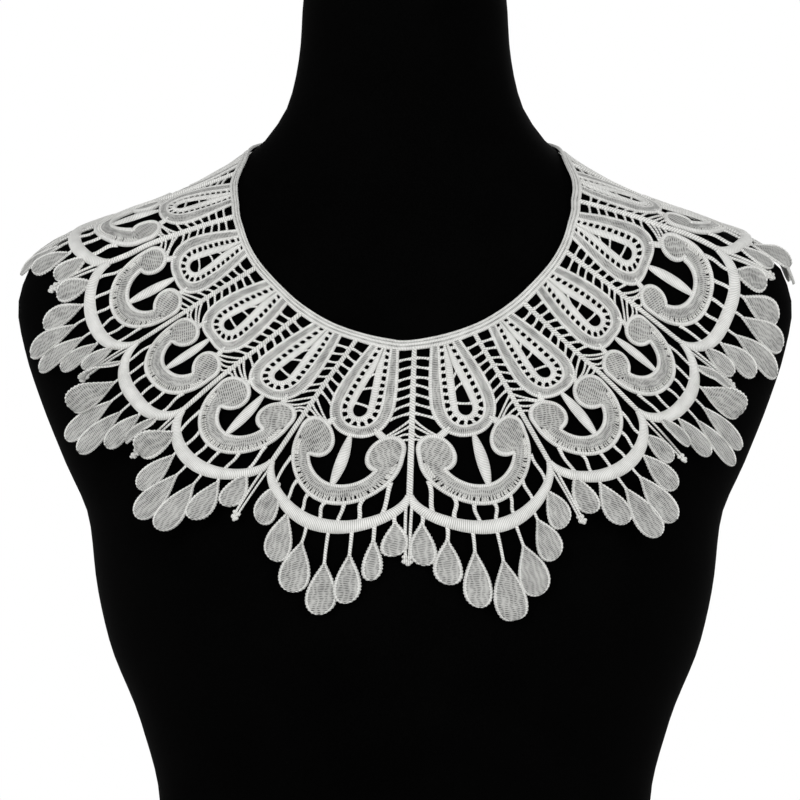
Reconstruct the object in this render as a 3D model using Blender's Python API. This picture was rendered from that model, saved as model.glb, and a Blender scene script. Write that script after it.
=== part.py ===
"""A white guipure lace collar lying on a plain black dress form.

The lace is drawn flat, one repeat at a time, as outlines whose union is one sheet with its gaps
cut through. The sheet is then laid on the form by a net of lines that run down from the
neckline, each as long as the lace is deep, so its lengths stay those of the flat lace.

Lengths are in millimetres and meshes are made in metres. Front is -Y, up is +Z, and the origin is
the middle of the form's flat base.
"""
import math
from collections import namedtuple

import bpy
import numpy as np
from mathutils import Vector
from mathutils.geometry import delaunay_2d_cdt

MM = 0.001

# Dress form: one row for each level, half width along X, depth to the front and to the back
Section = namedtuple("Section", "height half_width front back squareness")
FORM_SECTIONS = [
    Section(0, 126.0, 98, 78, 2.30),
    Section(40, 121.5, 94, 70, 2.30),
    Section(80, 122.5, 97, 66, 2.30),
    Section(120, 132.0, 110, 68, 2.30),
    Section(160, 147.5, 120, 75, 2.30),
    Section(190, 154.0, 119, 80, 2.30),
    Section(220, 157.5, 113, 86, 2.30),
    Section(250, 170.0, 104, 91, 2.30),
    Section(280, 182.0, 95, 92, 2.25),
    Section(305, 190.0, 85, 90, 2.20),
    Section(325, 193.5, 78, 86, 2.20),
    Section(345, 188.0, 71, 80, 2.20),
    Section(357, 174.0, 67, 76, 2.20),
    Section(368, 150.0, 63, 71, 2.20),
    Section(379, 120.0, 59, 66, 2.10),
    Section(390, 97.0, 56, 62, 2.10),
    Section(400, 81.0, 54, 59, 2.00),
    Section(412, 68.0, 52, 55, 2.00),
    Section(430, 57.5, 51, 50, 2.00),
    Section(455, 52.5, 53, 47, 2.00),
    Section(486, 50.0, 58, 42, 2.00),
    Section(490, 47.0, 55, 39, 2.00),
]
FORM_TOP = FORM_SECTIONS[-1].height
NECK_FOOT = 430
FORM_SIDES = 36
FORM_RING_STEP = 16.0
FORM_EVEN_FROM = 160
FORM_COLOUR = (0.004, 0.004, 0.005)

# Neckline of the lace on the form: angle around from the front, and height
NeckPoint = namedtuple("NeckPoint", "around_deg height")
NECKLINE = [
    NeckPoint(0, 308),
    NeckPoint(3.5, 310.5),
    NeckPoint(8.5, 316.5),
    NeckPoint(13, 326),
    NeckPoint(17, 337.5),
    NeckPoint(21, 349.5),
    NeckPoint(25.5, 360.5),
    NeckPoint(30.5, 368.5),
    NeckPoint(36, 374),
    NeckPoint(43, 380),
    NeckPoint(52, 387),
    NeckPoint(63, 395),
    NeckPoint(76, 401.5),
    NeckPoint(90, 405),
    NeckPoint(125, 411),
    NeckPoint(155, 416),
    NeckPoint(180, 417),
]
NECKLINE_OVERRUN_DEG = 20
NECKLINE_STEP_DEG = 0.125

# Each rib's line over the form: where it leaves the neck edge, in repeats from the middle front, and
# where it ends, as an angle around from the front
RibLine = namedtuple("RibLine", "rib start around_deg")
RIB_LINES = [
    RibLine(-9, -8.9, -180),
    RibLine(-8, -7.9, -163),
    RibLine(-7, -6.85, -145),
    RibLine(-6, -5.8, -125),
    RibLine(-5, -4.7, -103),
    RibLine(-4, -3.65, -86.5),
    RibLine(-3, -2.7, -69),
    RibLine(-2, -1.65, -50.5),
    RibLine(-1, -0.7, -28),
    RibLine(0, 0.15, 0),
    RibLine(1, 1.05, 28),
    RibLine(2, 1.95, 50.5),
    RibLine(3, 3.05, 67),
    RibLine(4, 4.0, 88),
    RibLine(5, 5.05, 105.5),
    RibLine(6, 6.1, 125),
    RibLine(7, 7.1, 145),
    RibLine(8, 8.1, 163),
    RibLine(9, 9.1, 180),
]

# How much lower than drawn the lace hangs, by rib number, and the share of it at each depth
Hang = namedtuple("Hang", "rib lower")
HANGS = [
    Hang(-9, 0),
    Hang(-5, -6),
    Hang(-4, -9),
    Hang(-3.5, -9),
    Hang(-3, -6),
    Hang(-2.5, -5),
    Hang(-2, 1),
    Hang(-1.5, 1.5),
    Hang(-1, 0.5),
    Hang(-0.5, 5),
    Hang(0, 2.5),
    Hang(0.5, 5.5),
    Hang(1, 1.5),
    Hang(1.5, 3.2),
    Hang(2, 3.5),
    Hang(2.5, -0.8),
    Hang(3, -1.5),
    Hang(3.5, -4),
    Hang(4, -1),
    Hang(5, 0),
    Hang(9, 0),
]
HangShare = namedtuple("HangShare", "down share")
HANG_SHARES = [HangShare(0, 0), HangShare(45, 0.9), HangShare(60, 1), HangShare(100, 1), HangShare(146, 0.6)]

# Repeats: nine each side of the middle front, and the one beside it is wider
REPEATS_A_SIDE = 9
NECK_WIDTH = 31.1
SEAM_GAP = 0.3
BACK_GAP = 0.8

# How much a repeat widens for each unit of depth, by how far it is from the middle front
Flare = namedtuple("Flare", "from_front flare")
FLARES = [
    Flare(0.5, 0.463),
    Flare(1.5, 0.33),
    Flare(2.5, 0.32),
    Flare(3.5, 0.28),
    Flare(4.5, 0.26),
    Flare(5.5, 0.24),
    Flare(6.5, 0.22),
    Flare(8.5, 0.20),
]
NOMINAL_FLARE = 0.33

# Depths below the neck edge, and half widths, of the pieces of a repeat
BAND_DEPTH = 5.3
JUNCTION = 77.0
LOWEST = 146.0
SCROLL_LEVEL = 58.5
SCROLL_BOTTOM = 84.2
SCROLL_BAND = 10.2
SCROLL_INTO_RIB = 0.3
KNOB_LEVEL = 56.0
KNOB_HALF = 8.7
KNOB_HEIGHT = 9.8
ARC_BOTTOM = 94.8
ARC_HALF = 3.2
ARC_END_HALF = 1.4
RIB_HALF = 1.4
BAR_HALF = 0.75
BAR_INTO_SCROLL = 2.0
BAR_SPREAD = 1.08
STEM_HALF = 0.75

# Drop-shaped outlines: the loop's edge, its hole and the crest line between them
Drop = namedtuple("Drop", "top top_half half widest bottom squareness points")
LOOP_EDGE = Drop(4.3, 8.2, 15.6, 33.5, 48.8, 2.6, 7)
LOOP_HOLE = Drop(16.5, 0.8, 3.7, 36.0, 39.8, 2.0, 5)
LOOP_RIDGE = Drop(17.3, 4.1, 9.7, 31.5, 44.8, 2.6, 5)
RIDGE_CLEAR = 1.0

# Ties from loop to knob: where they leave the loop, and how far from the knob's middle they end
TIE_HALF = 1.6
TIE_ACROSS = 9.7
TIE_DOWN = 42.8
TIE_IN = 1.5
TIE_UP = 5.0

# Strips along a middle line: depth, and half width there
Width = namedtuple("Width", "down half")
LEAF = [Width(47.0, 0.9), Width(55.0, 2.6), Width(62.0, 3.1), Width(69.5, 2.2), Width(76.2, 0.8)]
RIB = [Width(down, RIB_HALF) for down in (2.0, 20.0, 38.0, 56.0, JUNCTION + 1.0)]
TAIL = [Width(JUNCTION - 1.0, RIB_HALF), Width(JUNCTION + 3.0, 1.7), Width(93.0, 1.7), Width(109.0, 1.7)]

# Petal blade: share of the way to the tip, and half width there as a share of the full width
Blade = namedtuple("Blade", "share half")
BLADE = [Blade(0.34, 0.34), Blade(0.68, 0.5), Blade(0.92, 0.32)]
BLADE_CREST = 0.62

# Points along each kind of curve
SCROLL_OUTER_POINTS = 9
SCROLL_INNER_POINTS = 7
SCROLL_CREST_POINTS = 7
SCROLL_CREST_FROM_DEG = 18
KNOB_POINTS = 8
ARC_POINTS = 8
BAND_POINTS = 5

# Bars between scroll and arc, by their place across the repeat
WIDE_BARS = [-24.6, -16.4, -8.2, 0.0, 8.2, 16.4, 24.6]
BARS = [-20.0, -12.2, -4.2, 4.2, 12.2, 20.0]

# Petals: where the stem leaves the arc, where the tip is, and the size of the blade
Petal = namedtuple("Petal", "hang tip_across tip_down blade width")
FRONT_LEFT_PETALS = [
    Petal(-25.0, -25.6, 105.8, 17.5, 10.4),
    Petal(-15.0, -13.4, 118.8, 21.5, 11.6),
    Petal(-4.5, -0.4, 130.9, 25.0, 13.0),
    Petal(6.0, 14.6, 137.6, 27.0, 12.4),
    Petal(15.5, 24.4, 129.0, 23.5, 9.2),
    Petal(23.5, 31.4, 118.4, 19.5, 7.6),
    Petal(30.0, 36.0, 105.4, 16.5, 8.6),
]
FRONT_RIGHT_PETALS = [
    Petal(-30.4, -36.0, 108.6, 19.0, 8.8),
    Petal(-22.3, -28.6, 120.2, 21.5, 10.6),
    Petal(-12.7, -19.0, 133.2, 28.0, 11.8),
    Petal(-2.4, -5.0, 142.5, 31.5, 14.4),
    Petal(6.6, 9.6, 133.3, 27.0, 12.8),
    Petal(16.6, 20.6, 119.6, 21.5, 11.2),
    Petal(27.0, 31.6, 107.0, 17.5, 10.4),
]
PETALS = [
    Petal(-22.6, -26.6, 107.0, 20.0, 8.8),
    Petal(-14.0, -17.4, 119.5, 23.0, 10.8),
    Petal(-4.8, -6.9, 132.0, 29.5, 11.6),
    Petal(4.8, 6.9, 130.5, 28.0, 11.6),
    Petal(14.0, 17.4, 118.5, 22.0, 10.8),
    Petal(22.6, 26.6, 106.0, 19.0, 8.8),
]

# Thickness of the wall at its edges, and at the crest of each kind of piece
LIFT = 1.2
WALL = 1.2
LOOP_CREST = 1.5
RIB_CREST = 1.8
SCROLL_CREST = 2.1
KNOB_CREST = 1.9
LEAF_CREST = 2.2
ARC_CREST = 3.0
PETAL_CREST = 2.0
LACE_COLOUR = (0.80, 0.80, 0.79)

# Net of lines that carry the flat lace to the form
NET_COLUMNS = 4
NET_ROWS = 18
LINE_POINTS = 60
FIRST_END_HEIGHT = 200.0
LENGTH_ROUNDS = 10
LENGTH_GAIN = 0.7
LINE_SETTLING = 4
POINT_SETTLING = 3
LEVEL_STEP = 0.5

# Drawing the flat lace
FLAT_UNIT = 50.0
NEAR = 0.02
SHORTEST_EDGE = 0.5
STRAIGHT = 0.15
LONGEST_STRAIGHT = 14.0
SMALLEST_GAP = 12.0


def smooth_table(places, values):
    """Give a function through the rows of a table that never overshoots them."""
    places = np.asarray(places, float)
    values = np.asarray(values, float)
    gaps = np.diff(places)
    slopes = np.diff(values) / gaps
    ends = np.zeros(len(places))
    ends[0] = slopes[0]
    ends[-1] = slopes[-1]
    for i in range(1, len(places) - 1):
        before = slopes[i - 1]
        after = slopes[i]
        if before * after > 0:
            near = 2 * gaps[i] + gaps[i - 1]
            far = gaps[i] + 2 * gaps[i - 1]
            ends[i] = (near + far) / (near / before + far / after)

    def read(at):
        at = np.clip(at, places[0], places[-1])
        row = np.clip(np.searchsorted(places, at, side="right") - 1, 0, len(gaps) - 1)
        gap = gaps[row]
        t = (at - places[row]) / gap
        start = (1 + 2 * t) * (1 - t) ** 2 * values[row] + t * (1 - t) ** 2 * gap * ends[row]
        return start + t * t * (3 - 2 * t) * values[row + 1] + t * t * (t - 1) * gap * ends[row + 1]

    return read


HEIGHTS = [row.height for row in FORM_SECTIONS]
half_width_at = smooth_table(HEIGHTS, [row.half_width for row in FORM_SECTIONS])
front_at = smooth_table(HEIGHTS, [row.front for row in FORM_SECTIONS])
back_at = smooth_table(HEIGHTS, [row.back for row in FORM_SECTIONS])
squareness_at = smooth_table(HEIGHTS, [row.squareness for row in FORM_SECTIONS])


def ring_point(around, height, half_width, front, back):
    """Point of a rounded ring at an angle from the front, for the ring's height and sizes."""
    power = 2 / squareness_at(height)
    side = np.sin(around)
    ahead = np.cos(around)
    depth = np.where(ahead > 0, front, back)
    x = half_width * np.sign(side) * np.abs(side) ** power
    y = -depth * np.sign(ahead) * np.abs(ahead) ** power
    return np.stack([x, y, np.broadcast_to(height, x.shape)], axis=-1)


def form_point(around, height):
    """Point of the form at an angle from the front and a height."""
    return ring_point(around, height, half_width_at(height), front_at(height), back_at(height))


# The lace hangs straight down from the form's widest level, so its sizes only grow on the way down
LEVELS = np.arange(0.0, FORM_TOP + LEVEL_STEP, LEVEL_STEP)


def widest_from_above(sizes):
    """Largest size met so far, counting down from the top."""
    return np.maximum.accumulate(sizes[::-1])[::-1]


HUNG_WIDTH = widest_from_above(half_width_at(LEVELS))
HUNG_FRONT = widest_from_above(front_at(LEVELS) * (LEVELS < NECK_FOOT))
HUNG_BACK = widest_from_above(back_at(LEVELS))


def hung_point(around, height):
    """Point of the surface the lace lies on, at an angle from the front and a height."""
    sizes = [np.interp(height, LEVELS, table) for table in (HUNG_WIDTH, HUNG_FRONT, HUNG_BACK)]
    return ring_point(around, height, *sizes)


def outside(points):
    """How far points are outside the surface the lace lies on, as a share of its size."""
    x = points[:, 0]
    y = points[:, 1]
    z = points[:, 2]
    power = squareness_at(z)
    depth = np.where(y < 0, np.interp(z, LEVELS, HUNG_FRONT), np.interp(z, LEVELS, HUNG_BACK))
    across = np.abs(x) / np.interp(z, LEVELS, HUNG_WIDTH)
    return (across ** power + (np.abs(y) / depth) ** power) ** (1 / power) - 1


def slope_of(points):
    """Gradient of outside, by small steps along each axis."""
    columns = []
    for axis in np.eye(3) * LEVEL_STEP:
        columns.append((outside(points + axis) - outside(points - axis)) / (2 * LEVEL_STEP))
    return np.stack(columns, axis=-1)


def unit(vectors):
    """Vectors at length one."""
    return vectors / np.linalg.norm(vectors, axis=-1, keepdims=True)


def settle(points, rounds):
    """Move points onto the surface that the lace lies on."""
    for _ in range(rounds):
        slope = slope_of(points)
        points = points - (outside(points) / (slope ** 2).sum(axis=-1))[:, None] * slope
    return points


def neckline_points(places):
    """Points along the neckline, for places in repeats from the middle front."""
    last = 180 + NECKLINE_OVERRUN_DEG
    around = np.radians(np.arange(-last, last, NECKLINE_STEP_DEG))
    folded = np.degrees(np.abs(np.arctan2(np.sin(around), np.cos(around))))
    height = smooth_table([row.around_deg for row in NECKLINE], [row.height for row in NECKLINE])(folded)
    line = form_point(around, height)
    length = np.concatenate([[0], np.cumsum(np.linalg.norm(np.diff(line, axis=0), axis=1))])
    front = np.interp(0.0, around, length)
    spacing = (np.interp(math.pi, around, length) - front) / REPEATS_A_SIDE
    at = front + places * spacing
    return np.stack([np.interp(at, length, line[:, i]) for i in range(3)], axis=-1)


def repeat_width(number, down):
    """Width of a repeat of the flat lace at a depth."""
    flare = np.interp(abs(number + 0.5), [row.from_front for row in FLARES], [row.flare for row in FLARES])
    return NECK_WIDTH + flare * down


def lines_down(starts, ends_around):
    """Lines over the form from the neckline, each as long as the lace is deep, as rows of points."""
    height = np.full(len(starts), FIRST_END_HEIGHT)
    share = np.linspace(0, 1, LINE_POINTS)[:, None, None]
    for _ in range(LENGTH_ROUNDS):
        straight = starts + share * (hung_point(ends_around, height) - starts)
        line = settle(straight.reshape(-1, 3), LINE_SETTLING).reshape(straight.shape)
        line[0] = starts
        steps = np.linalg.norm(np.diff(line, axis=0), axis=-1)
        height = height + LENGTH_GAIN * (steps.sum(axis=0) - LOWEST)
    along = np.concatenate([np.zeros((1, len(starts))), np.cumsum(steps, axis=0)])
    rows = np.linspace(0, LOWEST, NET_ROWS + 1)
    net = np.empty((NET_ROWS + 1, len(starts), 3))
    for column in range(len(starts)):
        at = rows * along[-1, column] / LOWEST
        for axis in range(3):
            net[:, column, axis] = np.interp(at, along[:, column], line[:, column, axis])
    return net


class Drape:
    """Carries flat lace, by rib number and depth below the neck edge, onto the form."""

    def __init__(self):
        columns = 2 * REPEATS_A_SIDE * NET_COLUMNS
        self.ribs = np.linspace(-REPEATS_A_SIDE, REPEATS_A_SIDE, columns + 1)
        ribs = [row.rib for row in RIB_LINES]
        starts = smooth_table(ribs, [row.start for row in RIB_LINES])(self.ribs)
        ends = smooth_table(ribs, [row.around_deg for row in RIB_LINES])(self.ribs)
        self.net = lines_down(neckline_points(starts), np.radians(ends))
        self.lower = smooth_table([row.rib for row in HANGS], [row.lower for row in HANGS])
        self.share = smooth_table([row.down for row in HANG_SHARES], [row.share for row in HANG_SHARES])

    def carry(self, flat):
        """Points on the form and their outward directions, for rows of rib number and depth."""
        flat = np.asarray(flat, float)
        across = (flat[:, 0] + REPEATS_A_SIDE) * NET_COLUMNS
        down = (flat[:, 1] + self.lower(flat[:, 0]) * self.share(flat[:, 1])) * NET_ROWS / LOWEST
        total = np.zeros((len(flat), 3))
        for row, row_share in cubic_shares(down, NET_ROWS):
            for column, column_share in cubic_shares(across, len(self.ribs) - 1):
                total += (row_share * column_share)[:, None] * self.net[row, column]
        points = settle(total, POINT_SETTLING)
        return points, unit(slope_of(points))


def cubic_shares(at, last):
    """The four net lines around each place and their shares in a smooth curve through them."""
    base = np.clip(np.floor(at), 0, last - 1).astype(int)
    t = at - base
    shares = (
        (-t + 2 * t ** 2 - t ** 3) / 2,
        (2 - 5 * t ** 2 + 3 * t ** 3) / 2,
        (t + 4 * t ** 2 - 3 * t ** 3) / 2,
        (-t ** 2 + t ** 3) / 2,
    )
    return [(np.clip(base + offset - 1, 0, last), share) for offset, share in enumerate(shares)]


# Flat drawing: a shape has an outline and crest points with the thickness there
Shape = namedtuple("Shape", "outline crest")


class Repeat:
    """One repeat of the lace, drawn across and down from the neck edge in millimetres."""

    def __init__(self, number):
        self.number = number
        wide = number in (-1, 0)
        self.bars = WIDE_BARS if wide else BARS
        self.petals = {-1: FRONT_LEFT_PETALS, 0: FRONT_RIGHT_PETALS}.get(number, PETALS)
        nominal = NECK_WIDTH + NOMINAL_FLARE * JUNCTION
        self.narrowing = 1.0 if wide else repeat_width(number, JUNCTION) / nominal
        self.shapes = []

    def half(self, down):
        """Half of the repeat's width at a depth."""
        return repeat_width(self.number, down) / 2

    def add(self, outline, crest=()):
        """Keep a shape, changed from millimetres across to rib numbers."""
        self.shapes.append(Shape(
            [self.flat(x, v) for x, v in outline],
            [(self.flat(x, v), thick) for x, v, thick in crest],
        ))

    def flat(self, x, v):
        """Rib number and depth of a point given in millimetres."""
        return self.number + 0.5 + x / (2 * self.half(v)), v

    def scroll_half(self):
        """Half of the scroll's outer width, which just reaches the ribs."""
        return self.half(SCROLL_LEVEL) - RIB_HALF + SCROLL_INTO_RIB

    def arc_point(self, x):
        """Depth of the arc's middle line at a place across."""
        reach = min(abs(x) / self.half(JUNCTION), 1.0)
        return JUNCTION + (ARC_BOTTOM - JUNCTION) * math.sqrt(1 - reach ** 2)


def curve(count, start_deg, end_deg):
    """Evenly spaced angles in radians, ends included."""
    return [math.radians(start_deg + (end_deg - start_deg) * i / (count - 1)) for i in range(count)]


def strip(centre, halves, thick):
    """Outline and crest of a strip along a line, with a half width for each of its points."""
    left = []
    right = []
    for i, (x, v) in enumerate(centre):
        before = centre[max(i - 1, 0)]
        after = centre[min(i + 1, len(centre) - 1)]
        way = Vector((after[0] - before[0], after[1] - before[1])).normalized()
        left.append((x - way.y * halves[i], v + way.x * halves[i]))
        right.append((x + way.y * halves[i], v - way.x * halves[i]))
    crest = [(x, v, thick) for x, v in centre[1:-1]] if thick else []
    return left + right[::-1], crest


def draw_band(repeat):
    """Neck band, a straight-edged strip along the neck edge."""
    places = [-1 + 2 * i / (BAND_POINTS - 1) for i in range(BAND_POINTS)]
    top = [(place * repeat.half(0), 0.0) for place in places]
    bottom = [(place * repeat.half(BAND_DEPTH), BAND_DEPTH) for place in places]
    repeat.add(top + bottom[::-1])


def right_side(drop):
    """Right side of a drop's outline, from its top down to the middle of its bottom."""
    points = [(drop.top_half, drop.top)]
    for angle in curve((drop.points + 1) // 2, 0, 90):
        x = drop.half * abs(math.cos(angle)) ** (2 / drop.squareness)
        v = drop.widest + (drop.bottom - drop.widest) * math.sin(angle) ** (2 / drop.squareness)
        points.append((x, v))
    return points


def draw_loop(repeat):
    """Drop-shaped loop below the band, as two halves that leave its drop-shaped hole open."""
    hole = right_side(LOOP_HOLE)
    ridge = right_side(LOOP_RIDGE)
    right = right_side(LOOP_EDGE) + hole[::-1] + [(0.0, LOOP_HOLE.top), (0.0, LOOP_EDGE.top)]
    for side in (1, -1):
        crest = [(side * x, v, LOOP_CREST) for x, v in ridge if x > RIDGE_CLEAR]
        repeat.add([(side * x, v) for x, v in right], crest)


def draw_scroll(repeat):
    """Open ring with a round knob at each upper end, and the ties from knob to loop."""
    outer_half = repeat.scroll_half()
    inner_half = outer_half - SCROLL_BAND * repeat.narrowing
    drop = SCROLL_BOTTOM - SCROLL_LEVEL
    outer = [(outer_half * math.cos(a), SCROLL_LEVEL + drop * math.sin(a))
             for a in curve(SCROLL_OUTER_POINTS, 0, 180)]
    inner = [(inner_half * math.cos(a), SCROLL_LEVEL + (drop - SCROLL_BAND) * math.sin(a))
             for a in curve(SCROLL_INNER_POINTS, 180, 0)]
    middle = [((outer_half + inner_half) / 2 * math.cos(a),
               SCROLL_LEVEL + (drop - SCROLL_BAND / 2) * math.sin(a), SCROLL_CREST)
              for a in curve(SCROLL_CREST_POINTS, SCROLL_CREST_FROM_DEG, 180 - SCROLL_CREST_FROM_DEG)]
    repeat.add(outer + inner, middle)
    knob_half = KNOB_HALF * repeat.narrowing
    knob_place = outer_half - knob_half
    for side in (-1, 1):
        knob = [(side * knob_place + knob_half * math.cos(a), KNOB_LEVEL + KNOB_HEIGHT * math.sin(a))
                for a in curve(KNOB_POINTS + 1, 0, 360)[:-1]]
        repeat.add(knob, [(side * knob_place, KNOB_LEVEL, KNOB_CREST)])
        tie = [(side * TIE_ACROSS, TIE_DOWN), (side * (knob_place - TIE_IN), KNOB_LEVEL - TIE_UP)]
        repeat.add(strip(tie, [TIE_HALF, TIE_HALF], 0)[0])


def draw_leaf(repeat):
    """Slim leaf from the loop down to the scroll."""
    repeat.add(*strip([(0.0, row.down) for row in LEAF], [row.half for row in LEAF], LEAF_CREST))


def draw_arc(repeat):
    """Padded arc from one junction to the next, thickest at its middle."""
    reach = repeat.half(JUNCTION)
    centre = []
    halves = []
    for a in curve(ARC_POINTS, 180, 0):
        centre.append((reach * math.cos(a), JUNCTION + (ARC_BOTTOM - JUNCTION) * math.sin(a)))
        halves.append(ARC_END_HALF + (ARC_HALF - ARC_END_HALF) * math.sin(a))
    outline, crest = strip(centre, halves, ARC_CREST)
    repeat.add(outline, crest)


def draw_bars(repeat):
    """Short bars that hang the arc from the scroll."""
    outer_half = repeat.scroll_half()
    drop = SCROLL_BOTTOM - SCROLL_LEVEL
    for place in repeat.bars:
        x = place * repeat.narrowing
        top = SCROLL_LEVEL + drop * math.sqrt(1 - (x / outer_half) ** 2) - BAR_INTO_SCROLL
        low = x * BAR_SPREAD
        repeat.add(strip([(x, top), (low, repeat.arc_point(low))], [BAR_HALF, BAR_HALF], 0)[0])


def draw_petals(repeat):
    """Petals that hang from the arc on short stems."""
    for row in repeat.petals:
        hang_across = row.hang * repeat.narrowing
        hang = Vector((hang_across, repeat.arc_point(hang_across)))
        tip = Vector((row.tip_across * repeat.narrowing, row.tip_down))
        width = row.width * repeat.narrowing
        way = (tip - hang).normalized()
        side = Vector((-way.y, way.x))
        places = [(hang, STEM_HALF), (tip - way * row.blade, STEM_HALF)]
        places += [(tip - way * row.blade * (1 - part.share), width * part.half) for part in BLADE]
        left = [tuple(at + side * half) for at, half in places]
        right = [tuple(at - side * half) for at, half in places]
        crest = tip - way * row.blade * (1 - BLADE_CREST)
        repeat.add(left + [tuple(tip)] + right[::-1], [(crest.x, crest.y, PETAL_CREST)])


def rib_shapes(rib):
    """Rib where two repeats meet, and the tail below it."""
    shapes = []
    for rows in (RIB, TAIL):
        before = [(rib - row.half / repeat_width(rib - 1, row.down), row.down) for row in rows]
        after = [(rib + row.half / repeat_width(rib, row.down), row.down) for row in rows]
        crest = [((float(rib), row.down), RIB_CREST) for row in rows[1:-1]]
        shapes.append(Shape(before + after[::-1], crest))
    return shapes


def side_shapes(side):
    """Every shape of the left half or of the right half, in rib numbers and depths."""
    numbers = range(0, REPEATS_A_SIDE) if side > 0 else range(-REPEATS_A_SIDE, 0)
    shapes = []
    for number in numbers:
        repeat = Repeat(number)
        for draw in (draw_band, draw_loop, draw_scroll, draw_leaf, draw_arc, draw_bars, draw_petals):
            draw(repeat)
        shapes.extend(repeat.shapes)
    for rib in range(numbers[0], numbers[-1] + 2):
        shapes.extend(rib_shapes(rib))
    return shapes


def keep_to_side(point, side):
    """Hold a flat point off the seam at the front and off the opening at the back."""
    rib, depth = point
    low = SEAM_GAP / 2 / repeat_width(0, depth)
    high = REPEATS_A_SIDE - BACK_GAP / 2 / repeat_width(REPEATS_A_SIDE - 1, depth)
    return side * min(max(side * rib, low), high), depth


def first_union(shapes, side):
    """Overlapping shapes cut into triangles: points, kept triangles and crest points."""
    points = []
    faces = []
    crests = []
    for shape in shapes:
        start = len(points)
        for point in shape.outline:
            rib, depth = keep_to_side(point, side)
            points.append(Vector((rib * FLAT_UNIT, depth)))
        face = list(range(start, len(points)))
        corners = [points[i] for i in face]
        faces.append(face if flat_area(corners) > 0 else face[::-1])
        for point, thick in shape.crest:
            rib, depth = keep_to_side(point, side)
            crests.append((Vector((rib * FLAT_UNIT, depth)), thick))
    result = delaunay_2d_cdt(points, [], faces, 0, NEAR)
    kept = [tri for tri, origin in zip(result[2], result[5]) if origin]
    return result[0], kept, crests


def flat_area(corners):
    """Signed area of a flat outline."""
    pairs = zip(corners, corners[1:] + corners[:1])
    return sum(a.x * b.y - a.y * b.x for a, b in pairs) / 2


def edge_loops(points, triangles):
    """Outlines of the sheet and of its gaps, without gaps and steps too small to cut."""
    follow = {}
    sides = {edge for a, b, c in triangles for edge in ((a, b), (b, c), (c, a))}
    for a, b in sides:
        if (b, a) not in sides:
            follow[a] = b
    loops = []
    while follow:
        first = next(iter(follow))
        loop = [first]
        step = follow.pop(first)
        while step != first:
            loop.append(step)
            step = follow.pop(step)
        corners = without_needless([points[i] for i in loop])
        if abs(flat_area(corners)) > SMALLEST_GAP:
            loops.append(corners)
    return loops


def without_needless(corners):
    """Outline without corners that sit close to the last one or on a short straight run."""
    kept = []
    for i, corner in enumerate(corners):
        last = kept[-1] if kept else corners[-1]
        after = corners[(i + 1) % len(corners)]
        run = (after - last).length
        bulge = abs(flat_area([last, corner, after])) * 2 / max(run, NEAR)
        if (corner - last).length > SHORTEST_EDGE and (bulge > STRAIGHT or run > LONGEST_STRAIGHT):
            kept.append(corner)
    return kept


def unite(shapes, side):
    """Union of the shapes as triangles that use only its outlines and its crest points."""
    points, triangles, crests = first_union(shapes, side)
    loops = edge_loops(points, triangles)
    corners = []
    edges = []
    for loop in loops:
        start = len(corners)
        corners.extend(loop)
        edges.extend((start + i, start + (i + 1) % len(loop)) for i in range(len(loop)))
    heights = {}
    for point, thick in crests:
        heights[len(corners)] = thick
        corners.append(point)
    flat, _, triangles, from_points, _, _ = delaunay_2d_cdt(corners, edges, [], 0, NEAR)
    starts = np.array([corners[a] for a, b in edges])
    ends = np.array([corners[b] for a, b in edges])
    kept = []
    for tri in triangles:
        middle = (flat[tri[0]] + flat[tri[1]] + flat[tri[2]]) / 3
        crosses = (starts[:, 1] > middle.y) != (ends[:, 1] > middle.y)
        rise = (middle.y - starts[crosses, 1]) / (ends[crosses, 1] - starts[crosses, 1])
        hits = starts[crosses, 0] + rise * (ends[crosses, 0] - starts[crosses, 0]) > middle.x
        if hits.sum() % 2:
            kept.append(tri)
    thick = [max([heights.get(source, WALL) for source in sources], default=WALL)
             for sources in from_points]
    return [(p.x / FLAT_UNIT, p.y) for p in flat], kept, thick


def make_wall(name, flat, triangles, thick, drape, material):
    """Closed wall from flat triangles: outer points, inner points and the cut edges."""
    used = sorted({i for tri in triangles for i in tri})
    order = {old: new for new, old in enumerate(used)}
    base, outward = drape.carry([flat[i] for i in used])
    inner = base + outward * LIFT
    outer = base + outward * (LIFT + np.array([thick[i] for i in used])[:, None])
    count = len(used)
    faces = []
    sides = {}
    for tri in triangles:
        a, b, c = (order[i] for i in tri)
        faces.append((a, b, c))
        faces.append((c + count, b + count, a + count))
        for edge in ((a, b), (b, c), (c, a)):
            sides[edge] = True
    for a, b in sides:
        if (b, a) not in sides:
            faces.append((b, a, a + count))
            faces.append((b, a + count, b + count))
    points = np.concatenate([outer, inner]) * MM
    return make_object(name, points, faces, material)


def make_object(name, points, faces, material):
    """Mesh object from points in metres, with its faces turned outward."""
    mesh = bpy.data.meshes.new(name)
    mesh.from_pydata([tuple(point) for point in points], [], faces)
    mesh.validate()
    volume = 0.0
    for polygon in mesh.polygons:
        corners = [mesh.vertices[i].co for i in polygon.vertices]
        for i in range(1, len(corners) - 1):
            volume += corners[0].dot(corners[i].cross(corners[i + 1]))
    if volume < 0:
        mesh.flip_normals()
    mesh.materials.append(material)
    mesh.update()
    thing = bpy.data.objects.new(name, mesh)
    bpy.context.scene.collection.objects.link(thing)
    return thing


def make_material(name, colour, roughness):
    """Principled material with a colour and a roughness."""
    material = bpy.data.materials.new(name)
    material.use_nodes = True
    shader = material.node_tree.nodes["Principled BSDF"]
    shader.inputs["Base Color"].default_value = (*colour, 1.0)
    shader.inputs["Roughness"].default_value = roughness
    shader.inputs["Metallic"].default_value = 0.0
    return material


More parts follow.
